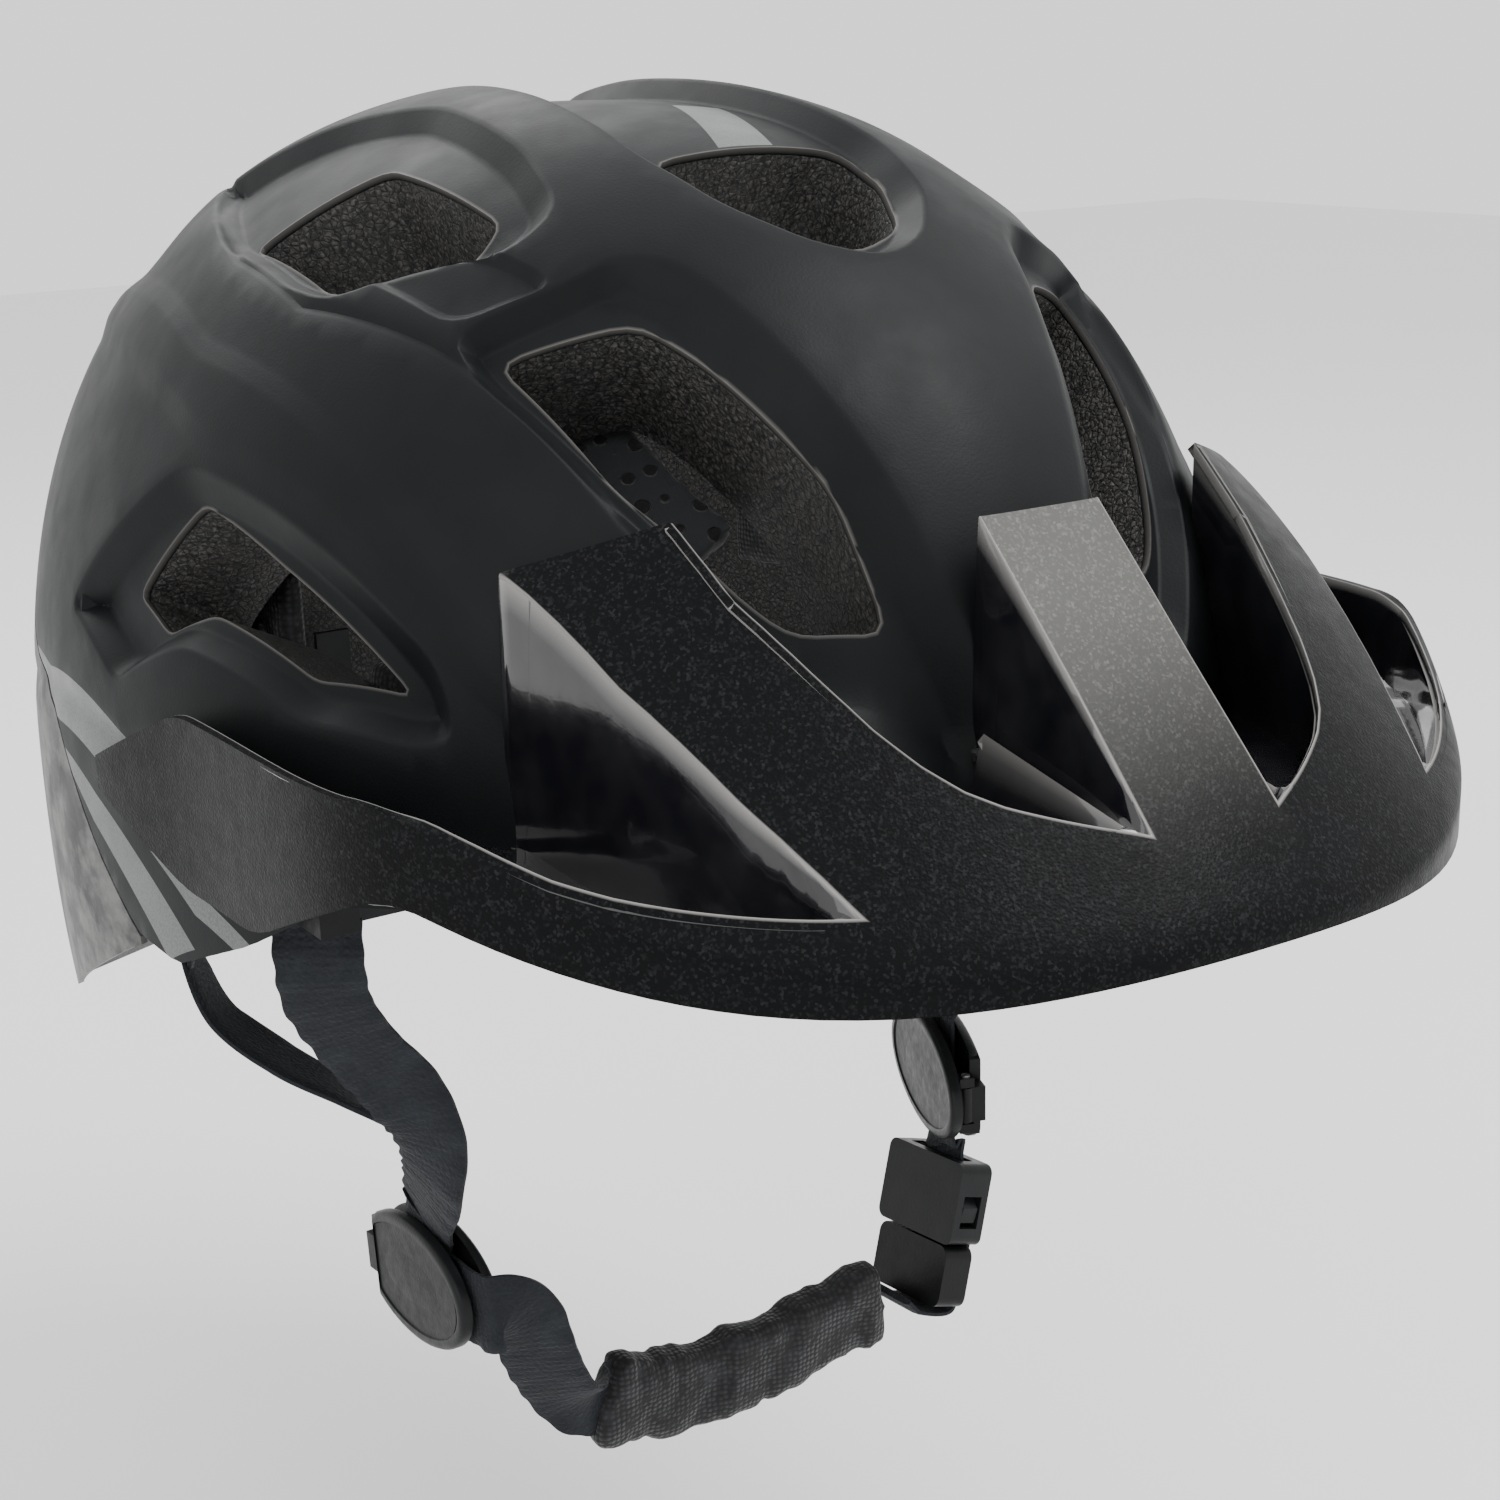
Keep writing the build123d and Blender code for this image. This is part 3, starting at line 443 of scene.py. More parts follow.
def peak_satin():
    """Satin black with a fine sparkle; brushed silver towards the middle fin's top."""
    s = Surface("peak_satin", (0.01, 0.01, 0.0105), 0.42, Specular_IOR_Level=0.3, IOR=1.16)
    sparkle = s.ramp(s.cells(0.00042, output="Color"), 0.6, 1.0)
    base = s.blend(sparkle, (0.005, 0.0053, 0.0057), (0.019, 0.0195, 0.0205))
    silver = s.blend(sparkle, (0.1, 0.099, 0.094), (0.17, 0.166, 0.158))
    fin = s.attribute("silver")
    body = s.blend(fin, base, silver)
    # the troughs' edges and ridges get a painted highlight, a light grey
    s.colour(s.attribute("painted_highlight"), body, (0.42, 0.41, 0.39))
    s.roughness(s.noise(0.004, 5), 0.29, 0.4)
    s.bump(s.cells(0.0005), 0.00004)
    return s.material


def peak_gloss():
    """Polished black of the peak's troughs, with painted highlights on their edges and ridges."""
    s = Surface("peak_gloss", (0.008, 0.008, 0.0095), 0.1, Coat_Weight=0.6, Coat_Roughness=0.04)
    haze = s.clouds(0.008, 4, 0.4, 0.7)
    base = s.blend(haze, (0.006, 0.006, 0.008), (0.014, 0.014, 0.016))
    # painted highlight on the troughs' edges and ridges
    s.colour(s.attribute("painted_highlight"), base, (0.36, 0.35, 0.335))
    s.roughness(s.noise(0.006, 5), 0.07, 0.2, 0.35)
    s.bump(s.noise(0.003, 3), 0.00004)
    return s.material


def moulded_plastic(name, tone, roughness):
    """Moulded black plastic, slightly cloudy."""
    s = Surface(name, (tone, tone * 1.05, tone * 1.12), roughness, Specular_IOR_Level=0.3, IOR=1.33)
    clouds = s.clouds(0.008, 4, 0.35, 0.65)
    low = (tone * 0.85, tone * 0.9, tone * 0.97)
    s.colour(clouds, low, (tone * 1.25, tone * 1.3, tone * 1.38))
    s.roughness(s.noise(0.002, 4), roughness - 0.06, roughness + 0.08)
    s.bump(s.noise(0.0006, 3), 0.00005)
    return s.material


def webbing():
    """Ribbed woven tape: cross ribs in the mesh, fine yarns along and across in the bump."""
    s = Surface(
        "webbing", (0.008, 0.01, 0.014), 0.8,
        Sheen_Weight=0.05, Sheen_Roughness=0.4, Specular_IOR_Level=0.3)
    yarns = s.noise(0.0006, 2)
    dust = s.clouds(0.006, 5, 0.45, 0.75)
    low = s.blend(yarns, (0.003, 0.0042, 0.0065), (0.0085, 0.0108, 0.0148))
    s.colour(dust, low, (0.012, 0.0145, 0.019))
    s.roughness(yarns, 0.68, 0.86)
    s.bump(yarns, 0.00025)
    s.bump(s.cells(0.0009), 0.00012)
    return s.material


def knitted(name, tone=0.012):
    """Fine knitted cover: small loops with lint."""
    s = Surface(name, (tone, tone, tone), 0.88, Sheen_Weight=0.18, Sheen_Roughness=0.45)
    loops = s.cells(0.0011, randomness=0.35)
    lint = s.clouds(0.004, 5, 0.5, 0.8)
    high, low = (tone * 1.7, tone * 1.8, tone * 2.1), (tone * 0.5, tone * 0.5, tone * 0.6)
    base = s.blend(s.ramp(loops, 0.0, 0.6), high, low)
    s.colour(lint, base, (tone * 2.4, tone * 2.5, tone * 2.8))
    s.roughness(loops, 0.78, 0.95, 0.0)
    s.bump(s.ramp(loops, 0.0, 0.6, 1.0, 0.0), 0.0003)
    s.bump(s.noise(0.012, 3), 0.0012, 0.5)
    return s.material


def perforated():
    """Mesh pad cover with round holes in rows."""
    s = Surface("perforated_cover", (0.02, 0.02, 0.022), 0.8, Sheen_Weight=0.15)
    holes = s.cells(0.0042, randomness=0.0)
    rim = s.ramp(holes, 0.3, 0.36)
    weave = s.noise(0.0007, 2)
    cloth = s.blend(weave, (0.012, 0.013, 0.015), (0.034, 0.036, 0.04))
    s.colour(rim, (0.002, 0.002, 0.002), cloth)
    s.roughness(weave, 0.7, 0.9)
    s.bump(rim, 0.0009)
    s.bump(weave, 0.00015)
    return s.material


def hooked_tape():
    """Hook tape: small dark hooks in a loose grid."""
    s = Surface("hook_tape", (0.015, 0.015, 0.016), 0.7)
    hooks = s.cells(0.0012, randomness=0.3)
    s.colour(s.ramp(hooks, 0.0, 0.5), (0.035, 0.035, 0.036), (0.004, 0.004, 0.004))
    s.roughness(s.noise(0.001, 3), 0.55, 0.8)
    s.bump(s.ramp(hooks, 0.0, 0.5, 1.0, 0.0), 0.0005)
    return s.material


def plated_steel():
    """Dull plated steel with fine scratches."""
    s = Surface("plated_steel", (0.5, 0.5, 0.5), 0.28, Metallic=1.0)
    scratches = s.noise(0.002, 6, 0.7, s.stretched((1, 8, 1)))
    s.colour(s.clouds(0.003, 4, 0.4, 0.7), (0.52, 0.52, 0.51), (0.36, 0.36, 0.35))
    s.roughness(scratches, 0.2, 0.42)
    s.bump(scratches, 0.00004)
    return s.material


def studio_paper():
    s = Surface("studio_paper", (0.86, 0.86, 0.86), 0.85)
    s.colour(s.noise(0.4, 2), (0.85, 0.85, 0.85), (0.88, 0.88, 0.88))
    return s.material


SHELL, STRIPE, MARBLED, FOAM = shell_paint(), stripe_paint(), marbled_gloss(), beaded_foam()
SATIN, GLOSS, WEBBING = peak_satin(), peak_gloss(), webbing()
DARK_PLASTIC = moulded_plastic("dark_plastic", 0.006, 0.4)
RIM_PLASTIC = moulded_plastic("rim_plastic", 0.011, 0.34)
SOFT_PLASTIC = moulded_plastic("soft_plastic", 0.016, 0.55)
KNIT, SLEEVE, MESH_COVER = knitted("knitted_cover"), knitted("chin_sleeve", 0.0095), perforated()
HOOK, STEEL = hooked_tape(), plated_steel()

# ---- features of the shell ----
FRONT_VENT = [
    (29, -35), (19, -39.5), (16.5, -45), (12.5, -57), (12, -67), (19.5, -64.5), (22, -61), (27, -49.5)]
CROWN_VENT = [(33, 1), (22, -6), (21.5, -24), (25.5, -26), (34, -16)]
SIDE_VENT = [(64, -4), (53.5, -13.5), (52.5, -28.5), (50, -48.5), (57, -38.5), (60.5, -21.5), (65.5, -13)]
REAR_SIDE_VENT = [(20, 30), (31, 27), (36, 44), (32, 60), (20, 57)]
REAR_LOW_VENT = [(17, 72), (36, 70), (34, 81), (18, 83)]
TOP_VENT = [(-8.6, -24.5), (8.6, -24.5), (8.4, -31), (5.4, -37.6), (0, -40), (-5.4, -37.6), (-8.4, -31)]
REAR_VENT = [(-8, 24), (8, 24), (10, 46), (-10, 46)]

# recesses around the vents: outline, depth in millimetres, widths in degrees of the slopes towards the
# middle and towards the rim, and whether both sides have it
CHANNEL_SIDE = [
    (5, -40.2), (9, -34.5), (10.8, -26), (10.3, -16), (9.4, -6), (8, 6), (9, 18), (13, 32), (13, 50)]
CHANNEL = [(0, -42.5), *CHANNEL_SIDE, (0, 54), *((-u, v) for u, v in reversed(CHANNEL_SIDE))]
CROWN = [
    (24, 24), (17, 9), (14.6, -2), (16.3, -19), (18.5, -28), (24, -29), (35, -18.5), (36, -12), (34.5, 3),
    (30, 13),
]
PANEL = [(32.5, -18.5), (24.5, -26.5), (22.3, -34.5), (30.3, -31)]
FRONT_RECESS = [
    (31, -31.5), (22, -34.6), (18.5, -34.6), (15, -37.5), (13, -43.5), (9.8, -55.4), (7.4, -66.1),
    (4.8, -75), (9, -80), (20, -71), (24.5, -61.5), (28.6, -49.5), (31.2, -37),
]
SIDE_RECESS = [
    (67, 10), (59, -2), (51.5, -12.3), (49.2, -28), (46, -50), (48.2, -55), (52, -52), (59.5, -41),
    (64.5, -20), (72, -7),
]
REAR_SIDE_RECESS = [(15, 25), (34, 21), (40, 44), (36, 64), (15, 62)]
REAR_LOW_RECESS = [(13, 68), (40, 66), (38, 84), (14, 87)]
RECESSES = [
    (CHANNEL, 4.6, (1.5, 1.5), False), (CROWN, 4.0, (1.9, 1.5), True), (PANEL, 1.5, (0.8, 0.8), True),
    (FRONT_RECESS, 4.8, (3.6, 1.4), True), (SIDE_RECESS, 5.0, (2.0, 2.2), True),
    (REAR_SIDE_RECESS, 3.5, (1.8, 1.8), True), (REAR_LOW_RECESS, 3.0, (1.6, 1.6), True),
]
# ribs: raised bands between two creases, and the line that parts the side rib from the crown
SIDE_RIB = [
    (33, 30), (42.2, -6.6), (39.8, -45.6), (37.2, -60), (41, -66), (45.3, -52), (50.3, -12.3), (46, 10),
    (38.2, 33),
]
SIDE_GROOVE = [
    (22.7, 24), (30.4, 12), (35.3, -2), (36.4, -16), (32, -31), (29.6, -42), (28, -52), (25, -62)]
RIM_STEP = [(60, 60), (70, 38), (74, 20), (76, 8), (77, -8), (73, -26), (66, -44), (56, -60)]
RIB_SLOPE, RIB_HEIGHT, RIB_FADE = 2.0, 1.1 * MM, 1.2 * MM
CREASES = ((SIDE_GROOVE, 0.45), (RIM_STEP, 1.2))    # paths and half widths in degrees
# painted stripes behind the peak's arm
STRIPES = [
    [(66.5, 37.7), (72.3, 21.2), (76.4, -10.6), (80.9, -4.2), (77.9, 16.1), (73, 34)],
    [(79, 21), (84, 0), (89.6, -30.1), (94.1, -23), (87, 2)],
    [(84.7, -18.1), (86, -30), (84, -41.6), (82, -41.6), (83.5, -30)],
]
CHANNEL_STRIPE = [(-2.2, -24), (2.8, -24), (7.2, -9.5), (3, -9)]

SIDE_VENTS = (
    (FRONT_VENT, 2.0), (CROWN_VENT, 1.6), (SIDE_VENT, 1.6), (REAR_SIDE_VENT, 3), (REAR_LOW_VENT, 2))

rounded_vents = []
for vent, corner in SIDE_VENTS:
    rounded_vents += [rounded(vent, corner), mirrored(rounded(vent, corner))]
rounded_vents += [rounded(TOP_VENT, 2.0), rounded(REAR_VENT, 3)]
rounded_recesses = [(rounded(outline, 2.6, 5), *rest) for outline, *rest in RECESSES]
rounded_rib = rounded(SIDE_RIB, 3)


def slope_width(points, outline, slopes):
    """Width of a recess's slope at map points: one width towards the middle, one towards the rim."""
    away = np.abs(points[:, 0]) - np.abs(outline[:, 0]).mean()
    return slopes[0] + (slopes[1] - slopes[0]) * smooth(away / 6 + 0.5)


def ramped(share):
    """Straight slope between two flats, with tight rounded ends."""
    share = np.clip(share, -0.15, 1.15)
    foot, head = (share + 0.15) ** 2 / 0.6, 1 - (1.15 - share) ** 2 / 0.6
    return np.where(share < 0.15, foot, np.where(share > 0.85, head, share))


def folded_over(flat):
    """Map points, with the right side's brought over to the left."""
    return np.abs(flat) * (1, 0) + flat * (0, 1)


def relief(flat):
    """Depth below the plain dome at map points, in metres."""
    folded = folded_over(flat)
    sunk = np.zeros(len(flat))
    for outline, depth, slopes, both in rounded_recesses:
        place = folded if both else flat
        width = slope_width(place, outline, slopes)
        sunk = np.maximum(sunk, depth * MM * ramped(depth_in(place, outline) / width))
    raised = RIB_HEIGHT * ramped(depth_in(folded, rounded_rib) / RIB_SLOPE)
    groove, step = (
        np.exp(-((distance(folded, np.array(path, float), False) / width) ** 2)) for path, width in CREASES)
    return sunk - raised * (1 - smooth(sunk / RIB_FADE)) + 0.7 * MM * groove + 0.6 * MM * step


def shell_lines():
    """Lines that the shell's triangles follow: the edges and the foot of each recess and rib."""
    lines = []
    for outline, _, slopes, both in rounded_recesses:
        for share in (-0.15, 0, 0.15, 0.85, 1, 1.15):
            ring = inset(outline, slope_width(outline, outline, slopes) * share)
            lines += both_sides(ring, True) if both else [(ring, True)]
    for share in (-0.15, 0.15, 0.85, 1.15):
        lines += both_sides(inset(rounded_rib, RIB_SLOPE * share), True)
    for path, width in CREASES:
        for side in (-1.6, -0.8, 0, 0.8, 1.6):
            lines += both_sides(beside(path, side * width), False)
    return lines


def dome_piece(
        name, bounds, holes, lines, spacing, thickness=0.0, cavity=False, sunk=0.0, slots=None,
        wall_steps=1):
    """Piece of the dome with openings, of one thickness or down to the head space."""
    flat, faces = triangulated(bounds, holes, lines, spacing)
    rays = directions(flat[:, 0], flat[:, 1])
    corners = rays[faces]
    if (np.cross(corners[:, 1] - corners[:, 0], corners[:, 2] - corners[:, 0]) * corners[:, 0]).sum() < 0:
        faces = faces[:, ::-1]
    outer_reach = reach(rays) - relief(flat) - sunk
    inner_reach = reach(rays, *CAVITY) if cavity else outer_reach - thickness
    inner_reach = np.minimum(inner_reach, outer_reach - 0.5 * MM)
    outer, inner = rays * outer_reach[:, None], rays * inner_reach[:, None]
    face_slots = slots(flat[faces].mean(1)) if slots else None
    piece = slab_mesh(name, outer, inner, faces, wall_steps, face_slots)
    # painted highlight: 1 at the points along the openings' edges, which the shell's paint draws lighter
    painted_highlight = np.zeros(len(piece.data.vertices))
    for hole in holes:
        painted_highlight[:len(flat)] = np.maximum(painted_highlight[:len(flat)], distance(flat, resampled(hole, 1, True)) < 0.05)
    mark(piece, "painted_highlight", painted_highlight)
    return shade(piece, 40)


def stripe_slots(centres):
    """1 for the triangles that the stripes' paint covers."""
    folded = folded_over(centres)
    painted = inside(centres, np.array(CHANNEL_STRIPE, float))
    for stripe in STRIPES:
        painted |= inside(folded, np.array(stripe, float))
    return painted.astype(int)


def make_shell():
    lines = shell_lines() + [(inset(vent, -0.28), True) for vent in rounded_vents]
    for stripe in STRIPES:
        lines += both_sides(np.array(stripe, float), True)
    lines.append((np.array(CHANNEL_STRIPE, float), True))
    shell = dome_piece(
        "shell_skin", edge_loop(SKIN_EDGE), rounded_vents, lines, 1.5, SKIN, slots=stripe_slots)
    shell.data.materials.append(SHELL)
    shell.data.materials.append(STRIPE)
    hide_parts("outer_shell")
    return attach(shell, "helmet")


def make_rear_lower():
    top = edge_loop(SKIN_EDGE, SLIT, 82, 278)
    bottom = edge_loop(TAIL_EDGE, 0, 82, 278)
    bounds = np.vstack([top, bottom[::-1]])
    holes = [vent for vent in rounded_vents if abs(vent[:, 1].mean()) > 66 and vent[:, 1].mean() > 0]
    piece = dome_piece("rear_lower_skin", bounds, holes, [], 1.7, SKIN)
    piece.data.materials.append(MARBLED)
    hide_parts("rear_lower_shell")
    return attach(piece, "helmet")


def make_foam():
    front = edge_loop(SKIN_EDGE, -1.0 * MM, -80, 80)
    rear = edge_loop(TAIL_EDGE, -1.5 * MM, 84, 276)
    piece = dome_piece(
        "foam_body", np.vstack([front, rear]), rounded_vents, shell_lines(), 2.2,
        cavity=True, sunk=1.4 * MM, wall_steps=5)
    piece.data.materials.append(FOAM)
    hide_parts("foam_liner")
    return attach(piece, "helmet")


# ---- peak ----
# Plan sizes are in millimetres, angles in degrees from the front. The front edge is bowed as far as the
# corner; behind it a straight flank runs back to the arm, and the arm hugs the shell.
PLATE = 1.5 * MM
ARM_END = 84
# strengths of the painted highlights along the troughs' edges and on the floors' ridges
EDGE_HIGHLIGHT, RIDGE_HIGHLIGHT = 0.55, 0.4
SILVER_HALF_WIDTH = 13.5
DEGREE = 2.5                # map millimetres for each degree round the peak
CORNER = 42.3
BOW = (179.5, 48.9, 20.7)   # reach forward, and its falls by t and t * t, where t = (x / 100) ** 2
FLANK_REACH, FLANK_SLOPE = 290.5, 1.806
ARM_SIDE = 103.5
ARM_GAP = 3.2
FLANK_TO_ARM, ARM_TO_SHELL = 40, 60     # powers that round the turns between them
CREST_ANGLES = (0, 5, 25.5, 37, 42, 90)
CREST_RADII = (129.3, 129.6, 119.0, 117.8, 110, 60)
CREST_LEVELS = (67, 67, 68, 61.5, 52, 40)


def brim(angle):
    """Outside radius, lower level and crease level of the brim at an angle, all in millimetres."""
    turn = math.radians(max(angle, 0.01))
    if angle > CORNER:
        front = FLANK_REACH / (math.cos(turn) + FLANK_SLOPE * math.sin(turn))
        level = max(22.6 - (angle - CORNER) * 1.25, 5.5) + max(angle - 68, 0) * 0.62
        crease = 35.0 - max(angle - 67, 0) * 0.82
    else:
        x = 0.0
        for _ in range(40):
            t = (x / 100) ** 2
            x = (x + math.tan(turn) * (BOW[0] - BOW[1] * t - BOW[2] * t * t)) / 2
        t = (x / 100) ** 2
        front = x / math.sin(turn)
        level = 13.6 - 16.8 * t + 25.8 * t * t
        crease = level + 3.2 + max(angle - 8, 0) * 0.3
    side = ARM_SIDE / math.sin(turn)
    radius = (front**-FLANK_TO_ARM + side**-FLANK_TO_ARM) ** (-1 / FLANK_TO_ARM)
    hugging = float(wall_radius(angle, level * MM)) / MM + ARM_GAP
    return (radius**ARM_TO_SHELL + hugging**ARM_TO_SHELL) ** (1 / ARM_TO_SHELL), level, crease


BRIM_ANGLES = np.arange(0, ARM_END + 0.01, 1.0)
BRIM = np.array([brim(angle) for angle in BRIM_ANGLES])
BRIM[2:-2] = (BRIM[:-4] + BRIM[1:-3] + BRIM[2:-2] + BRIM[3:-1] + BRIM[4:]) / 5


def peak_frame(angles):
    """Outer radius, lower level, crease level, crest radius and crest level at angles from the front."""
    size = np.abs(angles)
    edge = [np.interp(size, BRIM_ANGLES, column) for column in BRIM.T]
    crest = [np.interp(size, CREST_ANGLES, values) for values in (CREST_RADII, CREST_LEVELS)]
    return (*edge, *crest)


def plan_to_map(points):
    """Peak's map: (angle from the front, distance in from the brim), both in map millimetres."""
    points = np.array(points, float)
    angles = np.degrees(np.arctan2(points[:, 0], -points[:, 1]))
    outer = peak_frame(angles)[0]
    return np.stack([angles * DEGREE, outer - np.hypot(points[:, 0], points[:, 1])], -1)


# troughs on the right half, as (x, y) in plan; their rear ends lie under the shell's outline
INNER_TROUGH = [
    (-11.8, -167.6), (-11.3, -150), (-11.2, -124), (-12, -108), (-50, -94), (-51, -104), (-48.5, -121),
    (-43.6, -135), (-40.6, -142.8), (-37.2, -149.2), (-33.6, -154), (-29.6, -157.6), (-24.8, -160.8),
    (-18.5, -164.4),
]
OUTER_TROUGH_FIN = [(-53.4, -157.8), (-60.5, -139.3), (-66.7, -119), (-71.2, -94), (-66, -80)]


def outer_trough():
    """Outer trough on the map: along the side fin, round the shell, and back inside the side wall."""
    fin = plan_to_map(resampled(OUTER_TROUGH_FIN, 6, False))
    wall = [(-angle * DEGREE, 1.7 + max(32 - angle, 0) * 0.27) for angle in range(75, 21, -3)]
    return np.vstack([fin, [(-56 * DEGREE, 48), (-75 * DEGREE, 30)], wall])


troughs = [plan_to_map(resampled(INNER_TROUGH, 5, True)), outer_trough()]
troughs += [mirrored(trough) for trough in troughs]
WALL = 1.9                  # plan width of a trough's wall, in millimetres
INNER_FLOOR, OUTER_FLOOR, FLOOR_ABOVE_EDGE = 26.5, 20.5, 3.5        # levels of the troughs' floors
# ribs on the floors: tip, foot, heights there, and half width
INNER_RIDGE = ((-14.4, -165.5), (-14.4, -129), 3.0, 10.5, 1.5)
OUTER_RIDGE = ((-55.2, -155.5), (-63.5, -105), 7.5, 5.0, 1.6)


def ridge(points, tip, foot, tip_height, foot_height, width):
    """Rounded rib along a trough's floor, from its tip to the shell: its rise, and 1 on its crest."""
    tip, foot = np.array(tip, float), np.array(foot, float)
    run = foot - tip
    share = np.clip(((points - tip) @ run) / (run @ run), 0, 1)
    away = np.linalg.norm(points - tip - share[:, None] * run, axis=1)
    crest = np.exp(-((away / width) ** 2)) * (share < 1.0)
    return crest * (tip_height + (foot_height - tip_height) * share), crest


def trough_floor(x, low):
    """Level of a trough's floor, lower in the outer troughs."""
    outer_floor = np.minimum(OUTER_FLOOR, low + FLOOR_ABOVE_EDGE)
    return INNER_FLOOR + (outer_floor - INNER_FLOOR) * smooth((np.abs(x) - 44) / 14)


def trough_hole(trough):
    """Part of a trough's floor that would lie inside the shell, as an outline on the map."""
    ring = resampled(inset(trough, WALL + 0.5), 3, True)
    angles = ring[:, 0] / DEGREE
    outer, low = peak_frame(angles)[:2]
    radius = outer - ring[:, 1]
    floor = trough_floor(radius * np.sin(np.radians(angles)), low)
    ring[:, 1] = np.maximum(ring[:, 1], outer - wall_radius(angles, floor * MM) / MM - 1.0)
    return ring


def peak_surface(flat):
    """Places, in metres, of map points of the peak, with how much each is sunk in a trough."""
    angles = flat[:, 0] / DEGREE
    outer, low, crease, crest, level = peak_frame(angles)
    inward = np.maximum(flat[:, 1], 0)
    radius = outer - inward
    share = np.clip(inward / np.maximum(outer - crest, 1), 0, 1)
    top = crease + (level - crease) * share**0.96 * smooth((CORNER - np.abs(angles)) / 3.5)
    top = np.where(flat[:, 1] < 0, crease + flat[:, 1], top)
    turn = np.radians(angles)
    x, y = radius * np.sin(turn), -radius * np.cos(turn)
    sunk = np.zeros(len(flat))
    for trough in troughs:
        sunk = np.maximum(sunk, smooth(depth_in(flat, trough) / WALL))
    plan = np.stack([-np.abs(x), y], -1)
    floor = trough_floor(x, low) + ridge(plan, *INNER_RIDGE)[0] + ridge(plan, *OUTER_RIDGE)[0]
    bottom = np.minimum(floor, top)
    lip = np.clip(1 - flat[:, 1] / 2.6, 0, 1) ** 2 * (flat[:, 1] >= 0) + (flat[:, 1] < 0)
    round_lip = 0.8 * lip * smooth((40 - np.abs(angles)) / 12)
    z = top * (1 - sunk) + bottom * sunk - round_lip
    z = np.maximum(z, low)
    return np.stack([x, y, z], -1) * MM, sunk


def make_peak():
    """The peak with its troughs, as a thin plate on its outer surface."""
    span = np.arange(-ARM_END, ARM_END + 0.1, 1.5)
    outer, low, crease, crest, _ = peak_frame(span)
    front = np.stack([span * DEGREE, -(crease - low)], -1)
    arm_in = outer - wall_radius(span, crease * MM) / MM - 0.9
    rear_in = np.where(np.abs(span) < 41, np.clip(outer - crest, 0, 60), np.maximum(arm_in, 2.3))
    rear = np.stack([span * DEGREE, rear_in], -1)[::-1]
    lines = []
    for trough in troughs:
        lines += [(inset(trough, amount), True) for amount in (-0.3, 0, 0.1, 0.4, 0.95, 1.55, WALL)]
    for way_in in (0.0, 0.5, 1.2, 2.6):
        lines.append((np.stack([span * DEGREE, np.full(len(span), way_in)], -1), False))
    for rib in (INNER_RIDGE, OUTER_RIDGE):
        along = resampled(rib[:2], 2, False)
        for side in (-2.4, -1.6, -0.8, 0, 0.8, 1.6, 2.4):
            lines += both_sides(plan_to_map(beside(along, side)), False)
    holes = [trough_hole(trough) for trough in troughs]
    flat, faces = triangulated(np.vstack([front, rear]), holes, lines, 2.6)
    points, sunk = peak_surface(flat)
    corners = points[faces]
    if np.cross(corners[:, 1] - corners[:, 0], corners[:, 2] - corners[:, 0])[:, 2].sum() < 0:
        faces = faces[:, ::-1]
    mesh = bpy.data.meshes.new("peak")
    mesh.from_pydata(points.tolist(), [], faces.tolist())
    mesh.validate()
    piece = new_object("peak", mesh)
    middle = peak_surface(flat[faces].mean(1))[1]
    piece.data.materials.append(SATIN)
    piece.data.materials.append(GLOSS)
    mesh.polygons.foreach_set("material_index", (middle > 0.02).astype(np.int32))
    # painted highlight: the troughs' edges where they are in view, and the crests of the floors' ridges
    edge = np.min([distance(flat, trough) for trough in troughs], axis=0) < 0.12
    plan = np.stack([-np.abs(points[:, 0]), points[:, 1]], -1) / MM
    ridge_highlight = (ridge(plan, *INNER_RIDGE)[1] + ridge(plan, *OUTER_RIDGE)[1]) ** 3
    visible = (flat[:, 1] > 0) | (np.abs(flat[:, 0] / DEGREE) > 36)
    mark(piece, "painted_highlight", np.maximum(edge * visible * EDGE_HIGHLIGHT, ridge_highlight * RIDGE_HIGHLIGHT * (sunk > 0.9)))
    across = smooth((SILVER_HALF_WIDTH - np.abs(points[:, 0]) / MM) / 1.2)
    fade = smooth((points[:, 1] / MM + 174) / 38)
    mark(piece, "silver", across * fade * (sunk < 0.02))
    thick = piece.modifiers.new("thick", "SOLIDIFY")
    thick.thickness = PLATE
    thick.offset = -1
    thick.use_quality_normals = True
    apply_modifiers(piece)
    shade(piece, 32)
    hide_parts("visor")
    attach(piece, "visor")
    return piece


def apply_modifiers(piece):
    """Gives a piece the mesh that its modifiers make, and takes them off."""
    bpy.context.view_layer.update()
    graph = bpy.context.evaluated_depsgraph_get()
    mesh = bpy.data.meshes.new_from_object(piece.evaluated_get(graph), depsgraph=graph)
    piece.modifiers.clear()
    piece.data = mesh


# ---- webbing ----
def curve_points(stations, count):
    """Smooth points through stations, by Catmull-Rom."""
    stations = np.array(stations, float)
    padded = np.vstack([2 * stations[0] - stations[1], stations, 2 * stations[-1] - stations[-2]])
    lengths = np.r_[0, np.cumsum(np.linalg.norm(np.diff(stations[:, :3], axis=0), axis=1))]
    result = []
    for along in np.linspace(0, lengths[-1], count):
        index = min(int(np.searchsorted(lengths, along, "right")) - 1, len(stations) - 2)
        t = (along - lengths[index]) / (lengths[index + 1] - lengths[index])
        a, b, c, d = padded[index:index + 4]
        square, cube = 2 * a - 5 * b + 4 * c - d, 3 * b - a - 3 * c + d
        result.append(0.5 * (2 * b + (c - a) * t + square * t**2 + cube * t**3))
    return np.array(result), lengths[-1]


TAPE_WIDTH, TAPE_THICK = 15.0, 1.4
RIB_PITCH, RIB_SWELL = 1.5, 0.1
RIPPLE_LENGTH = 5.6


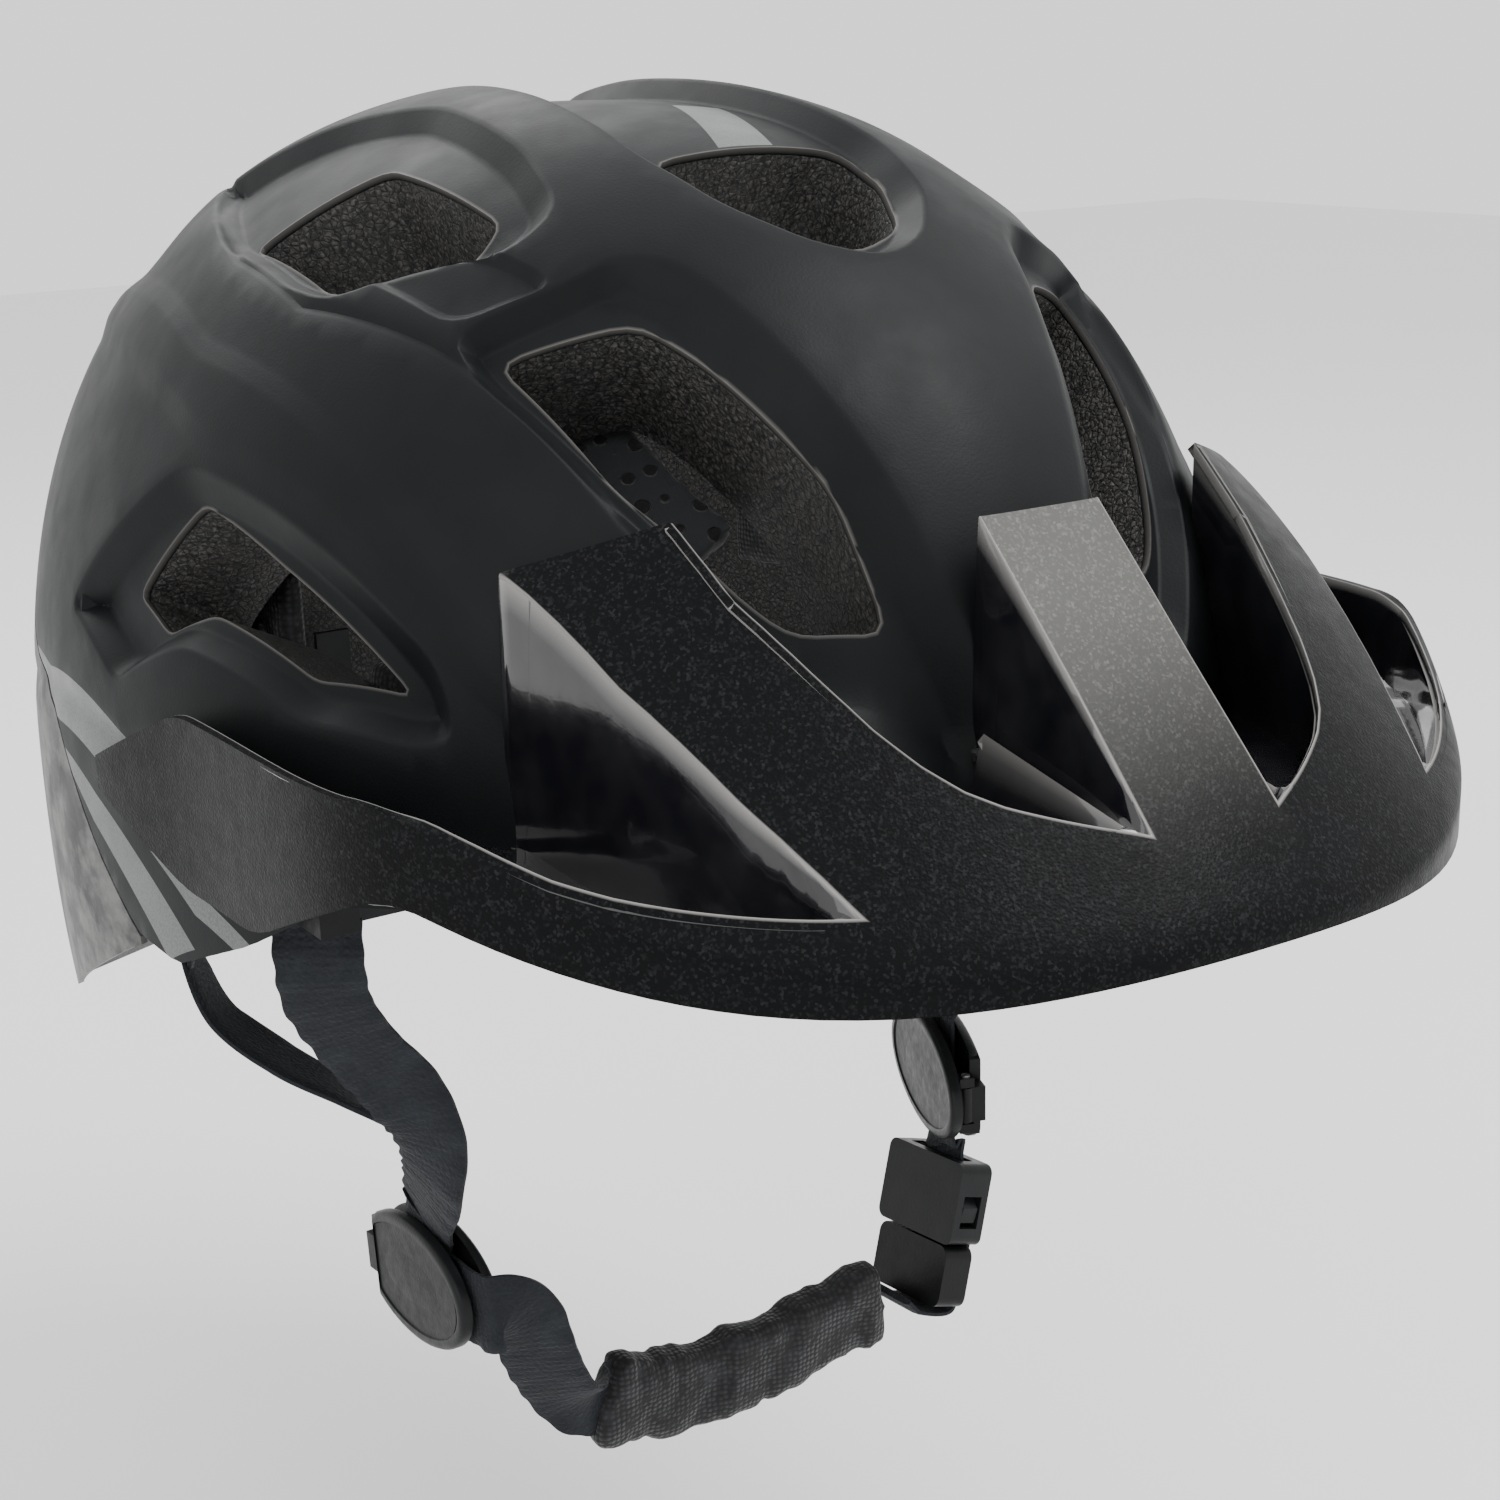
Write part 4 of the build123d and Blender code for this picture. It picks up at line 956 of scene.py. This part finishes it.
def strap(name, route, nodes, ripple=0.0):
    """Ribbed tape through a route of (centre, direction of its width), in millimetres."""
    stations = [(*centre, *(np.array(across) / np.linalg.norm(across))) for centre, across in route]
    length = np.linalg.norm(np.diff(np.array(stations)[:, :3], axis=0), axis=1).sum()
    count = int(length / RIB_PITCH * 4) + 2
    points, length = curve_points(stations, count)
    centres, widths = points[:, :3], points[:, 3:]
    ahead = np.gradient(centres, axis=0)
    ahead /= np.linalg.norm(ahead, axis=1)[:, None]
    widths -= (widths * ahead).sum(1)[:, None] * ahead
    widths /= np.linalg.norm(widths, axis=1)[:, None]
    normals = np.cross(ahead, widths)
    section = [(share, 0.5 * (1 - max(abs(share) - 0.9, 0) * 5)) for share in np.linspace(-1, 1, 11)]
    section += [(share, -lift) for share, lift in section[::-1]]
    vertices = []
    for index in range(count):
        along = length * index / (count - 1)
        swell = RIB_SWELL * math.sin(2 * math.pi * along / RIB_PITCH)
        for share, lift in section:
            edge_wave = ripple * math.sin(2 * math.pi * along / RIPPLE_LENGTH + 1.3 * share) * share
            side = share * (TAPE_WIDTH / 2 + edge_wave * 0.35)
            high = lift * (TAPE_THICK + (swell if abs(share) < 0.86 else 0)) + edge_wave * 0.4
            vertices.append(centres[index] + widths[index] * side + normals[index] * high)
    around = len(section)
    faces = []
    for index in range(count - 1):
        for step in range(around):
            a, b = index * around + step, index * around + (step + 1) % around
            faces.append((a, b, b + around, a + around))
    faces += [tuple(range(around))[::-1], tuple(range((count - 1) * around, count * around))]
    mesh = bpy.data.meshes.new(name)
    mesh.from_pydata((np.array(vertices) * MM).tolist(), [], faces)
    piece = new_object(name, mesh)
    mesh.materials.append(WEBBING)
    shade(piece, 50)
    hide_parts(*nodes)
    return piece


class Face:
    """Plane of a divider or the buckle, with its own axes, in millimetres."""

    def __init__(self, origin, x_axis, normal):
        self.origin = np.array(origin, float)
        self.normal = np.array(normal, float) / np.linalg.norm(normal)
        x_axis = np.array(x_axis, float)
        x_axis -= (x_axis @ self.normal) * self.normal
        self.x_axis = x_axis / np.linalg.norm(x_axis)
        self.y_axis = np.cross(self.normal, self.x_axis)

    def at(self, x, y, z):
        return tuple(self.origin + self.x_axis * x + self.y_axis * y + self.normal * z)


# places of the dividers and the buckle, and directions of the tapes' widths
RIGHT_FACE = Face((-57, -21, -88), (0, -0.996, 0.09), (-1, 0, 0))
LEFT_FACE = Face((55.5, -32, -72), (0.35, 0.937, 0), (0.937, -0.35, 0))
BUCKLE_FACE = Face((50.9, -34.5, -104.6), (-0.028, 0.996, -0.09), (0.954, 0, -0.3))
LAYER = 0.8
FACING = (0.84, -0.54, 0)
EDGE_ON = (0.45, 0.89, 0)
LENGTHWISE, BACKWARDS = (0, -1, 0), (0, 1, 0)
INWARD, DIVIDER_LONG, UPRIGHT = (-0.6, 0.8, 0), (0.35, 0.937, 0), (0, 0, 1)


def make_straps():
    right, left, buckle = RIGHT_FACE.at, LEFT_FACE.at, BUCKLE_FACE.at
    straps = [
        strap("front_strap_right", [
            ((-84, -46, -3.3), FACING), ((-84, -46, -12), FACING), ((-82, -44, -20), FACING),
            ((-76, -42, -30), FACING), ((-69.5, -42, -39), FACING), ((-65, -42, -49), (0.6, -0.8, 0)),
            ((-63, -38, -60), (0.2, -0.98, 0)), ((-60.4, -30, -68.5), LENGTHWISE),
            ((-58.2, -25, -74.5), LENGTHWISE), (right(2, 10, LAYER), LENGTHWISE),
            (right(2, -8, LAYER), LENGTHWISE),
        ], ["strap_front_right"], ripple=0.4),
        strap("rear_strap_right", [
            ((-89, 0, -20.2), EDGE_ON), ((-89, 0, -24), EDGE_ON), ((-87.5, -8, -32), EDGE_ON),
            ((-81, -17, -39), EDGE_ON), ((-73, -23, -45), (0.3, 0.95, 0)),
            ((-65, -25.5, -52), (0.1, 0.99, 0)), ((-58, -24, -61), BACKWARDS),
            ((-56.2, -23, -69), BACKWARDS),
            (right(2, 10, -LAYER), BACKWARDS), (right(2, -8, -LAYER), BACKWARDS),
        ], ["strap_rear_right"]),
        strap("front_strap_left", [
            ((84, -46, -3.3), INWARD), ((84, -46, -14), INWARD), ((80, -44, -28), (-0.4, 0.9, 0)),
            ((72, -40, -40), (-0.1, 0.99, 0)), ((62.5, -35.5, -51), (0.25, 0.96, 0)),
            (left(0, 14.5, LAYER + 0.4), DIVIDER_LONG), (left(0, 10, LAYER), DIVIDER_LONG),
            (left(0, -13.5, LAYER), DIVIDER_LONG), (buckle(0, 15.4, 0), (0.1, 0.99, -0.05)),
            (buckle(0, 11.6, 0), (-0.028, 0.996, -0.09)),
        ], ["strap_front_left"]),
        strap("rear_strap_left", [
            ((89, 0, -20.2), EDGE_ON), ((89, 0, -30), EDGE_ON), ((87, 6, -46), (0.4, 0.6, 0.4)),
            ((81, 8, -60), (0.3, 0.3, 0.7)), ((73, 4, -70), (0, 0.1, 0.99)),
            *((left(x, y, -LAYER), UPRIGHT) for x, y in ((27, -1), (22, 0), (-6, 0))),
        ], ["strap_rear_left"]),
    ]
    for piece in straps:
        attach(piece, "helmet")
    tail_across = (0, 1, -0.09)
    tail = strap("buckle_tail", [
        (buckle(0, y, z), tail_across)
        for y, z in ((-15, -7.8), (-17.2, -4), (-17.4, 3), (-14.5, 4.9), (-6, 5.2), (4, 5.8))
    ], ["strap_tail"])
    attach(tail, "chin_half")
    chin = strap("chin_webbing", [
        (right(11, 0, 0), (0, 0.09, 1)), (right(23, 0, 0), (0, 0.09, 1)),
        ((-54, -46.5, -85.5), (0.2, -0.1, 0.97)),
        ((-50.5, -46, -88.5), (0.5, -0.45, 0.74)), ((-47, -43.5, -96), (0.66, -0.66, 0.3)),
        ((-43.5, -41, -104), (0.75, -0.65, 0.1)), ((-39, -38.5, -111.5), (0.55, -0.7, 0.4)),
        ((-34, -36, -116), (0.2, -0.5, 0.85)), ((-29, -33.2, -118.6), (0, -0.1, 1)),
        ((-22, -31.6, -121.4), (0, -0.1, 1)),
    ], ["chin_strap"], ripple=0.3)
    tuple(Vector(right(20, 0, 0)) * MM)
    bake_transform(chin)


# ---- pads ----
def copied_mesh(name, node):
    piece = new_object(name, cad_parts[node].data.copy())
    piece.data.materials.clear()
    return piece


PRESSURE = 4.0
MOST_SWELL = 0.7 * MM
CLOTH_FRAMES = 14


def puff(piece, voxel):
    """Swells a closed shape as a stuffed fabric cover, by a cloth simulation with its result applied."""
    remesh = piece.modifiers.new("remesh", "REMESH")
    remesh.mode = "VOXEL"
    remesh.voxel_size = voxel
    apply_modifiers(piece)
    start = places_of(piece)
    cloth = piece.modifiers.new("cloth", "CLOTH")
    cloth.settings.use_pressure = True
    cloth.settings.uniform_pressure_force = PRESSURE
    cloth.settings.effector_weights.gravity = 0
    cloth.settings.quality = 5
    cloth.settings.tension_stiffness = 10
    cloth.settings.bending_stiffness = 0.2
    cloth.collision_settings.use_collision = False
    scene = bpy.context.scene
    for number in range(CLOTH_FRAMES):
        scene.frame_set(number + 1)
    apply_modifiers(piece)
    scene.frame_set(1)
    move = places_of(piece) - start
    size = np.linalg.norm(move, axis=1)[:, None] + 1e-12
    move_vertices(piece, start + move * np.minimum(1, MOST_SWELL / size))


def move_vertices(piece, places):
    piece.data.vertices.foreach_set("co", places.astype(np.float32).ravel())
    piece.data.update()


def make_pad(name, node, body, material, voxel=2.2 * MM):
    """Cushion in place of a CAD pad: puffed, relaxed and made finer."""
    piece = copied_mesh(name, node)
    puff(piece, voxel)
    relax = piece.modifiers.new("relax", "SMOOTH")
    relax.iterations = 4
    relax.factor = 0.5
    finer = piece.modifiers.new("finer", "SUBSURF")
    finer.levels = 1
    apply_modifiers(piece)
    piece.data.materials.append(material)
    shade(piece, 60)
    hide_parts(node)
    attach(piece, body)
    return piece


def wrinkle(piece, height, size, seed):
    """Cross folds in a sleeve, pushed out along its normals."""
    normals = np.array([vertex.normal[:] for vertex in piece.data.vertices])
    places = places_of(piece)
    shift = np.array([
        noise.noise(Vector((x / size, y / size * 0.35 + seed, z / size * 0.35))) for x, y, z in places])
    folds = np.sin(places[:, 0] / size * 2.2 + 3 * shift) * 0.5 + shift
    move_vertices(piece, places + normals * (folds * height)[:, None])


def make_pads():
    """The five kinds of cushion; the chin's sleeve is also wrinkled."""
    make_pad("brow_cushion", "brow_pad", "helmet", KNIT)
    for hand in ("right", "left"):
        make_pad(f"side_cushion_{hand}", f"side_pad_{hand}", "helmet", KNIT)
        make_pad(f"vent_cushion_{hand}", f"finger_pad_{hand}", "helmet", MESH_COVER, 1.6 * MM)
    make_pad("crown_cushion", "crown_pad", "helmet", KNIT)
    make_pad("cradle_cushion", "cradle_pad", "cradle", KNIT)
    sleeve = make_pad("chin_sleeve", "chin_pad", "chin_half", SLEEVE, 1.8 * MM)
    wrinkle(sleeve, 0.9 * MM, 5 * MM, 3.1)


# ---- cam dividers ----
HALF_LONG, HALF_TALL, OVAL_STEPS = 22.0, 12.0, 64
HINGE = np.array([-18.0, 0, 0])
CORE_SCALE = (0.92, 0.95, 0.92)     # keeps the CAD half, seen at the hinge, inside its cover
LID_CUT = -14.9                     # the lid ends here, clear of the shell when it opens


def oval_cover(name, face, low, high, cut, node, body):
    """Clamshell half: a rim, a groove inside it and a crowned middle, around the CAD half's barrel."""
    steps = OVAL_STEPS
    outward = 1 if high > low else -1
    profile = [
        (0.9, 0.9, low), (1.0, 1.0, low + 0.3 * outward), (1.0, 1.0, high - 0.9 * outward),
        (0.985, 0.97, high - 0.3 * outward), (0.95, 0.91, high), (0.9, 0.83, high - 0.05 * outward),
        (0.87, 0.79, high - 0.8 * outward), (0.82, 0.72, high - 0.9 * outward),
        (0.72, 0.6, high - 0.6 * outward),
        (0.45, 0.32, high - 0.25 * outward), (0.2, 0.12, high - 0.15 * outward),
    ]
    vertices = [face.at(0, 0, low), face.at(0, 0, high - 0.15 * outward)]
    for share_long, share_tall, level in profile:
        for turn in np.linspace(0, 2 * math.pi, steps, endpoint=False):
            x = max(HALF_LONG * share_long * math.cos(turn), cut)
            vertices.append(face.at(x, HALF_TALL * share_tall * math.sin(turn), level))
    faces = []
    for step in range(steps):
        following = (step + 1) % steps
        faces.append((0, 2 + following, 2 + step))
        for ring in range(len(profile) - 1):
            a, b = 2 + ring * steps + step, 2 + ring * steps + following
            faces.append((a, b, b + steps, a + steps))
        last = 2 + (len(profile) - 1) * steps
        faces.append((1, last + step, last + following))
    rim = [1 <= (min(face_points) - 2) // steps <= 4 for face_points in faces]
    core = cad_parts[node]
    axes = np.array([face.x_axis, face.y_axis, face.normal])
    places = places_of(core) / MM - face.origin
    places = ((places @ axes.T - HINGE) * CORE_SCALE + HINGE) @ axes + face.origin
    first = len(vertices)
    faces += [tuple(first + point for point in polygon.vertices) for polygon in core.data.polygons]
    rim += [False] * len(core.data.polygons)
    mesh = bpy.data.meshes.new(name)
    mesh.from_pydata((np.vstack([np.array(vertices), places]) * MM).tolist(), [], faces)
    mesh.polygons.foreach_set("material_index", np.array(rim, np.int32))
    shape = bmesh.new()
    shape.from_mesh(mesh)
    bmesh.ops.recalc_face_normals(shape, faces=shape.faces)
    shape.to_mesh(mesh)
    shape.free()
    piece = new_object(name, mesh)
    mesh.materials.append(DARK_PLASTIC)
    mesh.materials.append(RIM_PLASTIC)
    shade(piece, 40)
    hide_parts(node)
    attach(piece, body)


def make_dividers():
    for hand, face in (("right", RIGHT_FACE), ("left", LEFT_FACE)):
        lid = f"divider_clamp_{hand}"
        oval_cover(f"divider_shell_{hand}", face, -1.55, -4.1, -HALF_LONG, f"divider_{hand}", "helmet")
        oval_cover(f"divider_lid_{hand}", face, 1.65, 4.2, LID_CUT, lid, lid)


def make_flexing():
    """Finer copies of the bands and the hanger between the helmet and the cradle, in soft plastic."""
    for name, axis, root_end in (("band_right", 1, 0), ("band_left", 1, 0), ("cradle_hanger", 2, 1)):
        piece = copied_mesh(f"{name}_flexing", name)
        finer = piece.modifiers.new("finer", "SUBSURF")
        finer.subdivision_type = "SIMPLE"
        finer.levels = 2
        apply_modifiers(piece)
        piece.data.materials.append(SOFT_PLASTIC)
        shade(piece, 40)
        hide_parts(name)
        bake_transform(piece)


def dress_cad():
    """Materials for the CAD nodes that keep their shape."""
    plan = {
        DARK_PLASTIC: [
            "buckle_male", "dial_cover", "dial_pinion", "rack_right", "rack_left", "strap_anchors"],
        RIM_PLASTIC: ["buckle_female", "buckle_prong_front", "buckle_prong_rear", "dial_knob"],
        SOFT_PLASTIC: ["cradle", "temple_anchors", "visor_sockets"],
        STEEL: ["divider_pins", "dial_screw"],
        HOOK: ["hook_dots"],
    }
    for material, names in plan.items():
        for name in names:
            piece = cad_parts[name]
            if not piece.material_slots:
                piece.data.materials.append(material)
            for slot in piece.material_slots:
                slot.material = material


# ---- studio ----
CAMERA_TURN, CAMERA_RISE, CAMERA_ROLL = math.radians(-32.98), math.radians(16.57), math.radians(-1.58)
CAMERA_AWAY, CAMERA_ASIDE, CAMERA_UP = 0.4816, 0.02676, -0.00049
LENS, SENSOR = 58.6, 36
FLOOR_DROP = 0.06           # room below the harness for the chin half to slide down
FLOOR_REACH = 3.0
WORLD_STRENGTH = 1.35
SOFTBOXES = (               # name, place, aim, size in metres, power in watts
    ("key", (0.5, -0.5, 1.1), (0, 0, 0.05), (0.7, 0.7), 15),
    ("fill", (-1.2, -0.6, 0.7), (0, 0, 0), (0.8, 0.8), 3),
    ("rim", (0.1, 1.1, 0.9), (0, 0, 0.05), (1.0, 0.5), 6),
)


def make_camera():
    """Camera in front of the wearer's right, a little above, rolled and shifted to one side."""
    flat = math.cos(CAMERA_RISE)
    back = Vector((math.sin(CAMERA_TURN) * flat, -math.cos(CAMERA_TURN) * flat, math.sin(CAMERA_RISE)))
    level = Vector((math.cos(CAMERA_TURN), math.sin(CAMERA_TURN), 0))
    rise = back.cross(level)
    right = level * math.cos(CAMERA_ROLL) + rise * math.sin(CAMERA_ROLL)
    up = rise * math.cos(CAMERA_ROLL) - level * math.sin(CAMERA_ROLL)
    place = right * CAMERA_ASIDE + up * CAMERA_UP + back * CAMERA_AWAY
    camera = new_object("camera", bpy.data.cameras.new("camera"))
    camera.data.lens = LENS
    camera.data.sensor_width = SENSOR
    camera.data.clip_start = 0.01
    matrix = np.eye(4)
    matrix[:3] = np.array([right, up, back, place]).T
    camera.matrix_world = Matrix(matrix.tolist())
    bpy.context.scene.camera = camera


def softbox(name, place, aim, size, power):
    light = new_object(name, bpy.data.lights.new(name, "AREA"))
    light.data.shape = "RECTANGLE"
    light.data.size, light.data.size_y = size
    light.data.energy = power
    light.location = place
    light.rotation_euler = (Vector(aim) - Vector(place)).to_track_quat("-Z", "Y").to_euler()


def make_studio():
    """White floor and surroundings, with three softboxes."""
    level = cad_box[0][2] - FLOOR_DROP
    mesh = bpy.data.meshes.new("floor")
    corners = [(x * FLOOR_REACH, y * FLOOR_REACH, level) for x, y in ((-1, -1), (1, -1), (1, 1), (-1, 1))]
    mesh.from_pydata(corners, [], [(0, 1, 2, 3)])
    floor = new_object("floor", mesh)
    mesh.materials.append(studio_paper())
    world = bpy.data.worlds.new("studio")
    bpy.context.scene.world = world
    world.use_nodes = True
    background = world.node_tree.nodes["Background"].inputs
    background["Color"].default_value = (1, 1, 1, 1)
    background["Strength"].default_value = WORLD_STRENGTH
    for values in SOFTBOXES:
        softbox(*values)


def main():
    make_shell()
    make_rear_lower()
    make_foam()
    make_peak()
    make_straps()
    make_pads()
    make_dividers()
    make_flexing()
    dress_cad()
    make_camera()
    make_studio()


main()
